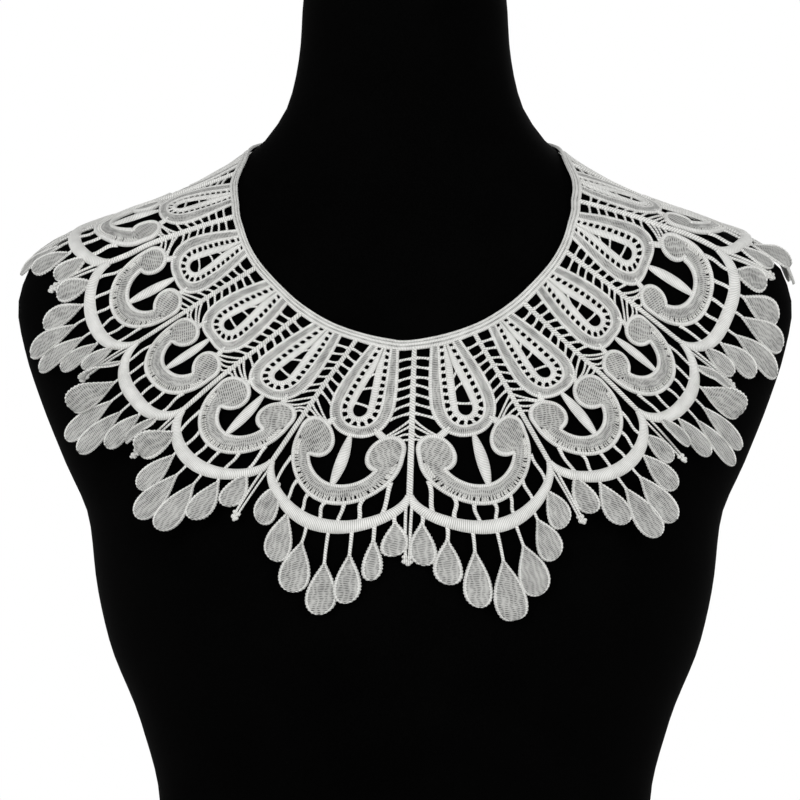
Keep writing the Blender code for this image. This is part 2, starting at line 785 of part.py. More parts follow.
def make_form(material):
    """Dress form: rings of points at each level, closed with a flat base and a flat top."""
    low = [row.height for row in FORM_SECTIONS if row.height < FORM_EVEN_FROM]
    between = list(np.arange(FORM_EVEN_FROM, NECK_FOOT, FORM_RING_STEP))
    high = [row.height for row in FORM_SECTIONS if row.height >= NECK_FOOT]
    levels = low + between + high
    around = np.arange(FORM_SIDES) * 2 * math.pi / FORM_SIDES
    rings = [form_point(around, float(level)) for level in levels]
    points = np.concatenate(rings) * MM
    faces = []
    for k in range(len(levels) - 1):
        for i in range(FORM_SIDES):
            j = (i + 1) % FORM_SIDES
            a = k * FORM_SIDES
            b = a + FORM_SIDES
            faces.append((a + i, a + j, b + j))
            faces.append((a + i, b + j, b + i))
    faces.append(tuple(range(FORM_SIDES))[::-1])
    faces.append(tuple(range(len(points) - FORM_SIDES, len(points))))
    return make_object("dress_form", points, faces, material)


def main():
    """Clear the scene, then make the form and the two halves of the collar."""
    for thing in list(bpy.data.objects):
        bpy.data.objects.remove(thing, do_unlink=True)
    make_form(make_material("black_form", FORM_COLOUR, 0.85))
    lace = make_material("white_lace", LACE_COLOUR, 0.75)
    drape = Drape()
    for name, side in (("lace_collar_left", -1), ("lace_collar_right", 1)):
        flat, triangles, thick = unite(side_shapes(side), side)
        make_wall(name, flat, triangles, thick, drape, lace)


main()
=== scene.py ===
"""White guipure lace collar on a black dress form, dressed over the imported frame."""
import math
from collections import namedtuple

import bpy
import numpy as np
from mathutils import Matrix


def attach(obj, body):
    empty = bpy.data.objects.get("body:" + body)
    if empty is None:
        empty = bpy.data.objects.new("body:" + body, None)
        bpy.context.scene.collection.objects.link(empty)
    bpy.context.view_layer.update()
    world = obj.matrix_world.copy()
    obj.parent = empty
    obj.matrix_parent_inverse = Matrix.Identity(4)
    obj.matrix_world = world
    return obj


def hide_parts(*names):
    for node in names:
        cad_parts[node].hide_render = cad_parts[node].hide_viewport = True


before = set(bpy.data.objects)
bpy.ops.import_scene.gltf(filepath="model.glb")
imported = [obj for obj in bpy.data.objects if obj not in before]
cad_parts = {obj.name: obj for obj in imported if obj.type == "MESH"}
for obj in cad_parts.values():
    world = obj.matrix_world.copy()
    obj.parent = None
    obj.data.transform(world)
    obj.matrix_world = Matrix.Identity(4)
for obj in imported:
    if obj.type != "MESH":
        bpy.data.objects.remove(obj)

bl_info = {
    "name": "Guipure Lace Collar",
    "version": (1, 0, 0),
    "blender": (4, 5, 0),
    "location": "View3D > Sidebar > Lace Collar",
    "description": "Makes the threads of a white lace collar and the black form under it",
    "category": "Object",
}

MM = 0.001

# Dress form: half width along X and depth to the front and to the back at each height, in mm
Section = namedtuple("Section", "height half_width front back squareness")
FORM_SECTIONS = [
    Section(0, 126.0, 98, 78, 2.30),
    Section(40, 121.5, 94, 70, 2.30),
    Section(80, 122.5, 97, 66, 2.30),
    Section(120, 132.0, 110, 68, 2.30),
    Section(160, 147.5, 120, 75, 2.30),
    Section(190, 154.0, 119, 80, 2.30),
    Section(220, 157.5, 113, 86, 2.30),
    Section(250, 170.0, 104, 91, 2.30),
    Section(280, 182.0, 95, 92, 2.25),
    Section(305, 190.0, 85, 90, 2.20),
    Section(325, 193.5, 78, 86, 2.20),
    Section(345, 188.0, 71, 80, 2.20),
    Section(357, 174.0, 67, 76, 2.20),
    Section(368, 150.0, 63, 71, 2.20),
    Section(379, 120.0, 59, 66, 2.10),
    Section(390, 97.0, 56, 62, 2.10),
    Section(400, 81.0, 54, 59, 2.00),
    Section(412, 68.0, 52, 55, 2.00),
    Section(430, 57.5, 51, 50, 2.00),
    Section(455, 52.5, 53, 47, 2.00),
    Section(486, 50.0, 58, 42, 2.00),
    Section(490, 47.0, 55, 39, 2.00),
]
FORM_TOP = FORM_SECTIONS[-1].height
NECK_FOOT = 430
FORM_SIDES = 96
FORM_CUTS = 60

# Neckline of the lace on the form: angle round from the front in degrees, and height in mm
NeckPoint = namedtuple("NeckPoint", "around_deg height")
NECKLINE = [
    NeckPoint(0, 308),
    NeckPoint(3.5, 310.5),
    NeckPoint(8.5, 316.5),
    NeckPoint(13, 326),
    NeckPoint(17, 337.5),
    NeckPoint(21, 349.5),
    NeckPoint(25.5, 360.5),
    NeckPoint(30.5, 368.5),
    NeckPoint(36, 374),
    NeckPoint(43, 380),
    NeckPoint(52, 387),
    NeckPoint(63, 395),
    NeckPoint(76, 401.5),
    NeckPoint(90, 405),
    NeckPoint(125, 411),
    NeckPoint(155, 416),
    NeckPoint(180, 417),
]
NECKLINE_OVERRUN_DEG = 20
NECKLINE_STEP_DEG = 0.125

# Each rib's line over the form: where it leaves the neck edge, in repeats from the middle front, and
# where it ends, as an angle around from the front
RibLine = namedtuple("RibLine", "rib start around_deg")
RIB_LINES = [
    RibLine(-9, -8.9, -180),
    RibLine(-8, -7.9, -163),
    RibLine(-7, -6.85, -145),
    RibLine(-6, -5.8, -125),
    RibLine(-5, -4.7, -103),
    RibLine(-4, -3.65, -86.5),
    RibLine(-3, -2.7, -69),
    RibLine(-2, -1.65, -50.5),
    RibLine(-1, -0.7, -28),
    RibLine(0, 0.15, 0),
    RibLine(1, 1.05, 28),
    RibLine(2, 1.95, 50.5),
    RibLine(3, 3.05, 67),
    RibLine(4, 4.0, 88),
    RibLine(5, 5.05, 105.5),
    RibLine(6, 6.1, 125),
    RibLine(7, 7.1, 145),
    RibLine(8, 8.1, 163),
    RibLine(9, 9.1, 180),
]

# How much lower than drawn the lace hangs, by rib number, and the share of it at each depth
Hang = namedtuple("Hang", "rib lower")
HANGS = [
    Hang(-9, 0),
    Hang(-5, -6),
    Hang(-4, -9),
    Hang(-3.5, -9),
    Hang(-3, -6),
    Hang(-2.5, -5),
    Hang(-2, 1),
    Hang(-1.5, 1.5),
    Hang(-1, 0.5),
    Hang(-0.5, 5),
    Hang(0, 2.5),
    Hang(0.5, 5.5),
    Hang(1, 1.5),
    Hang(1.5, 3.2),
    Hang(2, 3.5),
    Hang(2.5, -0.8),
    Hang(3, -1.5),
    Hang(3.5, -4),
    Hang(4, -1),
    Hang(5, 0),
    Hang(9, 0),
]
HangShare = namedtuple("HangShare", "down share")
HANG_SHARES = [HangShare(0, 0), HangShare(45, 0.9), HangShare(60, 1), HangShare(100, 1), HangShare(146, 0.6)]

REPEATS_A_SIDE = 9
NECK_WIDTH = 31.1
BACK_GAP = 0.8

# How much a repeat widens for each unit of depth, by how far it is from the middle front
Flare = namedtuple("Flare", "from_front flare")
FLARES = [
    Flare(0.5, 0.463),
    Flare(1.5, 0.33),
    Flare(2.5, 0.32),
    Flare(3.5, 0.28),
    Flare(4.5, 0.26),
    Flare(5.5, 0.24),
    Flare(6.5, 0.22),
    Flare(8.5, 0.20),
]
NOMINAL_FLARE = 0.33

# Size of the scrolls' knobs as a share of those at the middle front
KnobSize = namedtuple("KnobSize", "from_front share")
KNOB_SIZES = [KnobSize(0.5, 1.0), KnobSize(1.5, 0.92), KnobSize(2.5, 0.8), KnobSize(8.5, 0.8)]

# Depths below the neck edge in mm
JUNCTION = 77.0
TAIL_END = 109.0
SCROLL_LEVEL = 58.5
SCROLL_DROP = 25.7
SCROLL_PINCH = 0.07
KNOB_LEVEL = 56.0
ARC_DROP = 17.8
LEAF_TOP = 47.4
LEAF_BOTTOM = 76.0
LOWEST = 146.0

# Lines of a drop-shaped loop, from its outer edge in to its hole, in mm
DropLine = namedtuple("DropLine", "half widest bottom top_half squareness")
LOOP_EDGE = DropLine(15.8, 33.5, 48.9, 8.3, 2.6)
LOOP_INNER = DropLine(9.0, 33.8, 43.2, 3.1, 2.5)
COLLAR_EDGE = DropLine(6.7, 34.0, 41.1, 1.3, 2.3)
HOLE_EDGE = DropLine(3.4, 35.2, 38.6, 0.03, 2.0)
LOOP_TOP = 4.3
HOLE_TOP = 14.5
SIDE_STEPS = 24
ROUND_STEPS = 16

# Thin threads across a loop's hole: depth, reach to each side and slant, in mm
HoleThread = namedtuple("HoleThread", "down half slant")
HOLE_THREADS = [HoleThread(18.6, 1.2, 1.6), HoleThread(25.0, 2.2, 0.7), HoleThread(33.2, 3.3, -0.7)]

# Threads from a rib to the loop: depth of the first, distance between them, and how much each slants
LADDER_TOP = 9.4
LADDER_PITCH = 4.45
LADDER_THREADS = 7
LADDER_SLANT = 0.9
LADDER_MORE_SLANT = 0.32

# Threads fanned out from a rib to a knob: depth on the rib, and the angle where each meets the knob
FanThread = namedtuple("FanThread", "down meets_deg")
FAN_THREADS = [FanThread(39.6, -118), FanThread(42.9, -92), FanThread(46.0, -68), FanThread(48.8, -45)]

# Beads of thread that end a tail, by their place from its end and their size, in mm
TailBead = namedtuple("TailBead", "across down size")
TAIL_BEADS = [
    TailBead(-1.1, -1.6, 1.2),
    TailBead(1.0, -1.2, 1.3),
    TailBead(-0.5, 0.6, 1.5),
    TailBead(1.3, 1.0, 1.1),
    TailBead(0.2, 2.0, 1.0),
]

# Bars between scroll and arc, by their place across the repeat in mm
WIDE_BARS = [-24.6, -16.4, -8.2, 0.0, 8.2, 16.4, 24.6]
BARS = [-20.0, -12.2, -4.2, 4.2, 12.2, 20.0]

# Petals: where the stem leaves the arc, where the tip is, and the size of the blade, in mm
Petal = namedtuple("Petal", "hang tip_across tip_down blade width")
FRONT_LEFT_PETALS = [
    Petal(-25.0, -27.4, 107.2, 22.0, 11.8),
    Petal(-15.0, -13.8, 118.4, 24.0, 12.2),
    Petal(-4.5, -0.8, 130.2, 25.5, 12.6),
    Petal(6.0, 14.0, 137.4, 27.0, 11.8),
    Petal(15.5, 24.0, 130.2, 24.5, 9.4),
    Petal(23.5, 30.0, 119.2, 20.5, 6.6),
    Petal(30.0, 35.4, 105.8, 18.0, 9.0),
]
FRONT_RIGHT_PETALS = [
    Petal(-30.4, -35.2, 111.4, 22.0, 9.0),
    Petal(-22.3, -28.0, 121.0, 22.0, 9.6),
    Petal(-12.7, -19.0, 134.4, 29.0, 10.6),
    Petal(-2.4, -5.0, 142.6, 31.5, 13.4),
    Petal(6.6, 9.2, 132.8, 27.0, 13.0),
    Petal(16.6, 20.0, 119.6, 22.0, 12.2),
    Petal(27.0, 31.2, 109.2, 19.5, 11.8),
]
PETALS = [
    Petal(-22.6, -27.0, 107.6, 21.0, 10.2),
    Petal(-14.0, -17.6, 120.0, 24.0, 12.0),
    Petal(-4.8, -7.1, 132.0, 29.5, 13.0),
    Petal(4.8, 7.1, 130.8, 28.5, 13.0),
    Petal(14.0, 17.6, 119.2, 23.0, 12.0),
    Petal(22.6, 27.0, 106.8, 20.0, 10.2),
]

PETAL_WIDEST = 0.7
PETAL_FULLNESS = 1.11
PETAL_STEPS = 65

# Petals that have turned on their stems: which repeat and petal, how far the tip lifts and its twist
Turned = namedtuple("Turned", "repeat petal lift twist_deg")
TURNED = [
    Turned(2, 0, 2.5, -24),
    Turned(2, 4, 3.5, 38),
    Turned(2, 5, 2.5, -34),
    Turned(4, 1, 1.5, 14),
    Turned(5, 3, 3.0, 22),
    Turned(-2, 0, 4.0, -46),
    Turned(-3, 0, 5.0, 52),
    Turned(-3, 1, 3.0, -36),
    Turned(-3, 5, 3.0, 38),
    Turned(-6, 2, 4.0, 26),
]

# Net of lines that carry the flat lace to the form
NET_COLUMNS = 4
NET_ROWS = 18
LINE_POINTS = 60
FIRST_END_HEIGHT = 200.0
LENGTH_ROUNDS = 10
LENGTH_GAIN = 0.7
LINE_SETTLING = 4
POINT_SETTLING = 3
LEVEL_STEP = 0.5
LIFT = 1.2

# How far a thread runs under the strip it joins, and how much wider it is where it does, in mm
OVERLAP = 0.4
JOINED = 1.5

# Angles round a scroll's lower part, from its right side: where its rim, fill and slits begin
RIM_FROM = 4
WEB_FROM = 10
SLITS_FROM = 5
KNOB_TURN = -262
THICK_SLITS = 6

# Which finish a face of the lace takes
SATIN = 0
FILL = 1
CORD = 2
OPEN_FILL = 3

# Section across a strip: place as a share of its half width, distance in from that edge in mm,
# height in mm, and the finish of the face that follows
Spot = namedtuple("Spot", "share inset rise finish")


def spots(finish, *rows):
    """Run of a section's rows, each a share, an inset and a rise, with one finish."""
    return [Spot(*row, finish) for row in rows]


THREAD = spots(CORD, (-1, 0, 0.45), (-0.55, 0, 0.95), (0.55, 0, 0.95), (1, 0, 0.45), (0.5, 0, 0.0),
               (-0.5, 0, 0.0))
SLIT_THREAD = spots(CORD, (-1, 0, 0.2), (0, 0, 1.1), (1, 0, 0.2))
KNOB_FILL = [
    *spots(FILL, (-1, 0, 1.2)),
    *spots(OPEN_FILL, (-0.78, 0, 1.3), (-0.1, 0, 1.15), (1, 0, 1.2), (1, 0, 0.1), (-1, 0, 0.1)),
]
BEAD = spots(SATIN, (-1, 0, 0.4), (-0.6, 0, 1.4), (1, 0, 1.8), (1, 0, 0.0), (-0.7, 0, 0.0))
RIB = spots(CORD, (-1, 0, 0.5), (-0.75, 0, 1.4), (-0.45, 0, 1.6), (0, 0, 0.95), (0.45, 0, 1.6),
            (0.75, 0, 1.4), (1, 0, 0.5), (0.8, 0, 0.0), (-0.8, 0, 0.0))
NECK_BAND = [
    *spots(SATIN, (-1, 0, 0.5), (-1, 0.3, 1.3), (-1, 0.8, 1.5)),
    *spots(FILL, (-1, 1.4, 0.9)),
    *spots(SATIN, (-0.2, 0, 0.9), (0, 0, 1.25)),
    *spots(FILL, (0.2, 0, 0.9)),
    *spots(SATIN, (1, 1.4, 0.9), (1, 0.8, 1.5), (1, 0.3, 1.3), (1, 0, 0.5), (0.9, 0, 0.0), (-0.9, 0, 0.0)),
]
LOOP_BAND = [
    *spots(SATIN, (-1, 0, 0.5), (-1, 0.35, 1.3), (-1, 0.9, 1.45)),
    *spots(FILL, (-1, 1.5, 1.15), (-0.3, 0, 1.2), (0.3, 0, 1.2)),
    *spots(SATIN, (1, 1.3, 1.15), (1, 0.8, 1.35), (1, 0.3, 1.2), (1, 0, 0.4), (0.9, 0, 0.0),
           (-0.9, 0, 0.0)),
]
PADDED = spots(SATIN, (-1, 0, 0.5), (-0.85, 0, 1.5), (-0.5, 0, 2.5), (0, 0, 3.0), (0.5, 0, 2.5),
               (0.85, 0, 1.5), (1, 0, 0.5), (0.7, 0, 0.0), (-0.7, 0, 0.0))
RIM = spots(SATIN, (-1, 0, 0.5), (-0.75, 0, 1.6), (-0.2, 0, 2.1), (0.5, 0, 1.8), (1, 0, 0.8),
            (0.8, 0, 0.0), (-0.8, 0, 0.0))
WEB = spots(FILL, (-1, 0, 0.85), (-0.35, 0, 1.15), (0.35, 0, 1.15), (1, 0, 0.85), (1, 0, 0.1),
            (-1, 0, 0.1))
PETAL = [
    *spots(SATIN, (-1, 0, 0.4), (-1, 0.5, 1.35)),
    *spots(FILL, (-1, 1.25, 0.85), (0, 0, 1.3)),
    *spots(SATIN, (1, 1.25, 0.85), (1, 0.5, 1.35), (1, 0, 0.4), (1, 0.4, 0.0), (-1, 0.4, 0.0)),
]


# Large soft lights, by place and side in m
Lamp = namedtuple("Lamp", "name place size")
LAMPS = [
    Lamp("key", (-1.3, -2.3, 1.5), 1.4),
    Lamp("fill", (1.6, -1.8, 0.9), 1.2),
    Lamp("back", (0.6, 2.0, 1.5), 1.2),
]
FLOOR_RADIUS = 1.15
CAMERA_ACROSS = -0.0025
SENSOR_WIDTH = 36.0


def linear(hex_colour):
    """Linear red, green and blue of an sRGB hex colour."""
    values = []
    for start in (1, 3, 5):
        value = int(hex_colour[start:start + 2], 16) / 255
        values.append(value / 12.92 if value <= 0.04045 else ((value + 0.055) / 1.055) ** 2.4)
    return tuple(values)


# Settings shown in the sidebar
class CollarSizes(bpy.types.PropertyGroup):
    """Sizes of the lace."""

    band_depth: bpy.props.FloatProperty(
        name="Neck band", description="Depth of the neck band", default=0.0053, unit="LENGTH")
    rib_width: bpy.props.FloatProperty(
        name="Rib width", description="Width of the two cords of a rib", default=0.0026, unit="LENGTH")
    thread_width: bpy.props.FloatProperty(
        name="Thread width", description="Width of a ladder thread", default=0.00125, unit="LENGTH")
    bar_width: bpy.props.FloatProperty(
        name="Bar width", description="Width of the bars that hang the arcs", default=0.0017, unit="LENGTH")
    dot_count: bpy.props.IntProperty(
        name="Dots in a loop", description="Small openings in the row inside a loop", default=24)
    scroll_band: bpy.props.FloatProperty(
        name="Scroll band", description="Width of the scroll's woven band", default=0.0107, unit="LENGTH")
    rim_width: bpy.props.FloatProperty(
        name="Rim width", description="Width of the scroll's padded rim", default=0.0021, unit="LENGTH")
    knob_width: bpy.props.FloatProperty(
        name="Knob width", description="Width of the round end of a scroll", default=0.0192, unit="LENGTH")
    knob_height: bpy.props.FloatProperty(
        name="Knob height", description="Height of the round end of a scroll", default=0.0194, unit="LENGTH")
    leaf_width: bpy.props.FloatProperty(
        name="Leaf width", description="Width of the slim leaf in a scroll", default=0.0056, unit="LENGTH")
    arc_width: bpy.props.FloatProperty(
        name="Arc width", description="Width of the padded arc at its middle", default=0.0070, unit="LENGTH")
    bead_pitch: bpy.props.FloatProperty(
        name="Bead pitch", description="Distance between the edge beads of a petal", default=0.0017,
        unit="LENGTH")
    bead_height: bpy.props.FloatProperty(
        name="Bead height", description="How far an edge bead stands out", default=0.00034, unit="LENGTH")
    slack: bpy.props.FloatProperty(
        name="Slack", description="How far the lace's lower edge waves off the form", default=0.0016,
        unit="LENGTH")
    seed: bpy.props.IntProperty(
        name="Seed", description="Start of the small differences between repeats", default=7)


class CollarFinish(bpy.types.PropertyGroup):
    """Colours and stitch sizes of the thread and of the form's cover."""

    thread: bpy.props.FloatVectorProperty(
        name="Thread", description="Colour of the cotton thread", default=linear("#ECECE9"),
        subtype="COLOR")
    # Painted shade: a darker colour laid into the valleys between padded stitches and between a cord's
    # turns, where shade falls
    stitch_valley_painted_shade: bpy.props.FloatVectorProperty(
        name="Between threads", description="Colour in the valleys between padded stitches",
        default=linear("#B8B8B5"), subtype="COLOR")
    fill_thread: bpy.props.FloatVectorProperty(
        name="Fill thread", description="Colour of the thinner woven fill", default=linear("#BCBCB9"),
        subtype="COLOR")
    fill_shade: bpy.props.FloatVectorProperty(
        name="Between fill threads", description="Colour where the fill lets the form show",
        default=linear("#505050"), subtype="COLOR")
    open_shade: bpy.props.FloatVectorProperty(
        name="Between open threads", description="Colour in the gaps of the knobs' slanting fill",
        default=linear("#343433"), subtype="COLOR")
    stitch_pitch: bpy.props.FloatProperty(
        name="Stitch pitch", description="Distance between stitches", default=0.0008, unit="LENGTH")
    cover: bpy.props.FloatVectorProperty(
        name="Cover", description="Colour of the form's velvet cover", default=linear("#010101"),
        subtype="COLOR")
    # Painted sheen: the slightly lighter colour of the velvet where its nap lies over
    nap_painted_sheen: bpy.props.FloatVectorProperty(
        name="Nap", description="Colour of the velvet where its nap lies over",
        default=linear("#040404"), subtype="COLOR")


class CollarStage(bpy.types.PropertyGroup):
    """Camera, floor and light."""

    camera_distance: bpy.props.FloatProperty(
        name="Camera distance", description="From the camera to the form's middle", default=3.0,
        unit="LENGTH")
    camera_height: bpy.props.FloatProperty(
        name="Camera height", description="Height of the camera", default=0.28, unit="LENGTH")
    field: bpy.props.FloatProperty(
        name="Field", description="Width seen at the form's middle", default=0.4, unit="LENGTH")
    floor: bpy.props.FloatVectorProperty(
        name="Floor", description="Colour of the floor", default=linear("#F2F2F0"), subtype="COLOR")
    key_power: bpy.props.FloatProperty(
        name="Key light", description="Power of the large light in front, in watts", default=28.0)
    fill_power: bpy.props.FloatProperty(
        name="Fill light", description="Power of the light from the other side, in watts", default=12.0)
    back_power: bpy.props.FloatProperty(
        name="Back light", description="Power of the light behind, in watts", default=16.0)


# Form of the body
def smooth_table(places, values):
    """Give a function through the rows of a table that never overshoots them."""
    places = np.asarray(places, float)
    values = np.asarray(values, float)
    gaps = np.diff(places)
    slopes = np.diff(values) / gaps
    ends = np.zeros(len(places))
    ends[0] = slopes[0]
    ends[-1] = slopes[-1]
    for i in range(1, len(places) - 1):
        before = slopes[i - 1]
        after = slopes[i]
        if before * after > 0:
            near = 2 * gaps[i] + gaps[i - 1]
            far = gaps[i] + 2 * gaps[i - 1]
            ends[i] = (near + far) / (near / before + far / after)

    def read(at):
        at = np.clip(at, places[0], places[-1])
        row = np.clip(np.searchsorted(places, at, side="right") - 1, 0, len(gaps) - 1)
        gap = gaps[row]
        t = (at - places[row]) / gap
        start = (1 + 2 * t) * (1 - t) ** 2 * values[row] + t * (1 - t) ** 2 * gap * ends[row]
        return start + t * t * (3 - 2 * t) * values[row + 1] + t * t * (t - 1) * gap * ends[row + 1]

    return read


HEIGHTS = [row.height for row in FORM_SECTIONS]
half_width_at = smooth_table(HEIGHTS, [row.half_width for row in FORM_SECTIONS])
front_at = smooth_table(HEIGHTS, [row.front for row in FORM_SECTIONS])
back_at = smooth_table(HEIGHTS, [row.back for row in FORM_SECTIONS])
squareness_at = smooth_table(HEIGHTS, [row.squareness for row in FORM_SECTIONS])


def ring_point(around, height, half_width, front, back):
    """Point of a rounded ring at an angle from the front, for the ring's sizes."""
    power = 2 / squareness_at(height)
    side = np.sin(around)
    ahead = np.cos(around)
    depth = np.where(ahead > 0, front, back)
    x = half_width * np.sign(side) * np.abs(side) ** power
    y = -depth * np.sign(ahead) * np.abs(ahead) ** power
    return np.stack([x, y, np.broadcast_to(height, x.shape)], axis=-1)


def form_point(around, height):
    """Point of the form at an angle from the front and a height."""
    return ring_point(around, height, half_width_at(height), front_at(height), back_at(height))


# The lace hangs straight down from the form's widest level, so its sizes only grow on the way down
LEVELS = np.arange(0.0, FORM_TOP + LEVEL_STEP, LEVEL_STEP)


def widest_from_above(sizes):
    """Largest size met so far, counting down from the top."""
    return np.maximum.accumulate(sizes[::-1])[::-1]


HUNG_WIDTH = widest_from_above(half_width_at(LEVELS))
HUNG_FRONT = widest_from_above(front_at(LEVELS) * (LEVELS < NECK_FOOT))
HUNG_BACK = widest_from_above(back_at(LEVELS))


def hung_point(around, height):
    """Point of the surface the lace lies on, at an angle from the front and a height."""
    sizes = [np.interp(height, LEVELS, table) for table in (HUNG_WIDTH, HUNG_FRONT, HUNG_BACK)]
    return ring_point(around, height, *sizes)


def outside(points):
    """How far points are outside the surface the lace lies on, as a share of its size."""
    x = points[:, 0]
    y = points[:, 1]
    z = points[:, 2]
    power = squareness_at(z)
    depth = np.where(y < 0, np.interp(z, LEVELS, HUNG_FRONT), np.interp(z, LEVELS, HUNG_BACK))
    across = np.abs(x) / np.interp(z, LEVELS, HUNG_WIDTH)
    return (across ** power + (np.abs(y) / depth) ** power) ** (1 / power) - 1


def slope_of(points):
    """Gradient of outside, by small steps along each axis."""
    columns = []
    for axis in np.eye(3) * LEVEL_STEP:
        columns.append((outside(points + axis) - outside(points - axis)) / (2 * LEVEL_STEP))
    return np.stack(columns, axis=-1)


def unit(vectors):
    """Vectors at length one."""
    return vectors / np.maximum(np.linalg.norm(vectors, axis=-1, keepdims=True), 1e-9)


def settle(points, rounds):
    """Move points onto the surface that the lace lies on."""
    for _ in range(rounds):
        slope = slope_of(points)
        points = points - (outside(points) / (slope ** 2).sum(axis=-1))[:, None] * slope
    return points


def lengths(line):
    """Distance along a line to each of its points."""
    return np.concatenate([[0], np.cumsum(np.linalg.norm(np.diff(line, axis=0), axis=1))])


def points_at(line, length, at):
    """Points of a line at distances, by the distance of each of its own points."""
    return np.stack([np.interp(at, length, column) for column in np.transpose(line)], axis=-1)


# Draping: flat lace, by rib number and depth, is carried to the form
def neckline_points(places):
    """Points along the neckline, for places in repeats from the middle front."""
    last = 180 + NECKLINE_OVERRUN_DEG
    around = np.radians(np.arange(-last, last, NECKLINE_STEP_DEG))
    folded = np.degrees(np.abs(np.arctan2(np.sin(around), np.cos(around))))
    height = smooth_table([row.around_deg for row in NECKLINE], [row.height for row in NECKLINE])(folded)
    line = form_point(around, height)
    length = lengths(line)
    front = np.interp(0.0, around, length)
    spacing = (np.interp(math.pi, around, length) - front) / REPEATS_A_SIDE
    return points_at(line, length, front + places * spacing)


def lines_down(starts, ends_around):
    """Lines over the form from the neckline, each as long as the lace is deep, as rows of points."""
    height = np.full(len(starts), FIRST_END_HEIGHT)
    share = np.linspace(0, 1, LINE_POINTS)[:, None, None]
    for _ in range(LENGTH_ROUNDS):
        straight = starts + share * (hung_point(ends_around, height) - starts)
        line = settle(straight.reshape(-1, 3), LINE_SETTLING).reshape(straight.shape)
        line[0] = starts
        steps = np.linalg.norm(np.diff(line, axis=0), axis=-1)
        height = height + LENGTH_GAIN * (steps.sum(axis=0) - LOWEST)
    along = np.concatenate([np.zeros((1, len(starts))), np.cumsum(steps, axis=0)])
    rows = np.linspace(0, LOWEST, NET_ROWS + 1)
    net = np.empty((NET_ROWS + 1, len(starts), 3))
    for column in range(len(starts)):
        net[:, column] = points_at(line[:, column], along[:, column], rows * along[-1, column] / LOWEST)
    return net


def cubic_shares(at, last):
    """The four net lines around each place and their shares in a smooth curve through them."""
    base = np.clip(np.floor(at), 0, last - 1).astype(int)
    t = at - base
    shares = (
        (-t + 2 * t ** 2 - t ** 3) / 2,
        (2 - 5 * t ** 2 + 3 * t ** 3) / 2,
        (t + 4 * t ** 2 - 3 * t ** 3) / 2,
        (-t ** 2 + t ** 3) / 2,
    )
    return [(np.clip(base + offset - 1, 0, last), share) for offset, share in enumerate(shares)]


class Drape:
    """Carries flat lace, by rib number and depth below the neck edge, onto the form."""

    def __init__(self):
        columns = 2 * REPEATS_A_SIDE * NET_COLUMNS
        self.ribs = np.linspace(-REPEATS_A_SIDE, REPEATS_A_SIDE, columns + 1)
        ribs = [row.rib for row in RIB_LINES]
        starts = smooth_table(ribs, [row.start for row in RIB_LINES])(self.ribs)
        ends = smooth_table(ribs, [row.around_deg for row in RIB_LINES])(self.ribs)
        self.net = lines_down(neckline_points(starts), np.radians(ends))
        self.lower = smooth_table([row.rib for row in HANGS], [row.lower for row in HANGS])
        self.share = smooth_table([row.down for row in HANG_SHARES], [row.share for row in HANG_SHARES])

    def carry(self, flat):
        """Points on the form and their outward directions, for rows of rib number and depth."""
        across = (flat[:, 0] + REPEATS_A_SIDE) * NET_COLUMNS
        down = (flat[:, 1] + self.lower(flat[:, 0]) * self.share(flat[:, 1])) * NET_ROWS / LOWEST
        total = np.zeros((len(flat), 3))
        for row, row_share in cubic_shares(down, NET_ROWS):
            for column, column_share in cubic_shares(across, len(self.ribs) - 1):
                total += (row_share * column_share)[:, None] * self.net[row, column]
        points = settle(total, POINT_SETTLING)
        return points, unit(slope_of(points))


DRAPE = Drape()


# Flat drawing, in mm across a repeat and down from the neck edge
def repeat_width(number, down):
    """Width of a repeat of the flat lace at a depth."""
    flare = np.interp(np.abs(number + 0.5), [row.from_front for row in FLARES],
                      [row.flare for row in FLARES])
    return NECK_WIDTH + flare * down


class Repeat:
    """One repeat of the lace, with its own small differences."""

    def __init__(self, number, seed):
        self.number = number
        wide = number in (-1, 0)
        self.bars = WIDE_BARS if wide else BARS
        self.petals = {-1: FRONT_LEFT_PETALS, 0: FRONT_RIGHT_PETALS}.get(number, PETALS)
        nominal = NECK_WIDTH + NOMINAL_FLARE * JUNCTION
        self.narrowing = 1.0 if wide else float(repeat_width(number, JUNCTION)) / nominal
        self.chance = np.random.default_rng(seed + 100 + number)

    def half(self, down):
        """Half of the repeat's width at a depth."""
        return repeat_width(self.number, down) / 2

    def place(self, flat):
        """Rib number and depth of flat points."""
        low = self.number
        high = self.number + 1
        if high == REPEATS_A_SIDE:
            high = REPEATS_A_SIDE - BACK_GAP / 2 / NECK_WIDTH
        if low == -REPEATS_A_SIDE:
            low = BACK_GAP / 2 / NECK_WIDTH - REPEATS_A_SIDE
        rib = self.number + 0.5 + flat[:, 0] / (2 * self.half(flat[:, 1]))
        return np.stack([np.clip(rib, low, high), flat[:, 1]], axis=-1)

    def little(self, size):
        """A small chance difference up to a size either way."""
        return float(self.chance.uniform(-size, size))


def rib_place(rib):
    """Function that places flat points by their distance from a rib."""
    def place(flat):
        x = flat[:, 0]
        before = repeat_width(rib - 1, flat[:, 1])
        after = repeat_width(rib, flat[:, 1])
        return np.stack([rib + x / np.where(x < 0, before, after), flat[:, 1]], axis=-1)
    return place


def even(line, count):
    """A line's points spaced again at equal distances."""
    line = np.asarray(line, float)
    length = lengths(line)
    return points_at(line, length, np.linspace(0, length[-1], count))


def at_shares(line, shares):
    """Points of a line at shares of its length."""
    length = lengths(line)
    return points_at(line, length, shares * length[-1])


def edges_of(centre, halves):
    """Left and right edges of a strip along a line, for its half widths."""
    centre = np.asarray(centre, float)
    way = unit(np.gradient(centre, axis=0))
    aside = np.stack([-way[:, 1], way[:, 0]], axis=-1) * np.broadcast_to(halves, len(centre))[:, None]
    return centre + aside, centre - aside


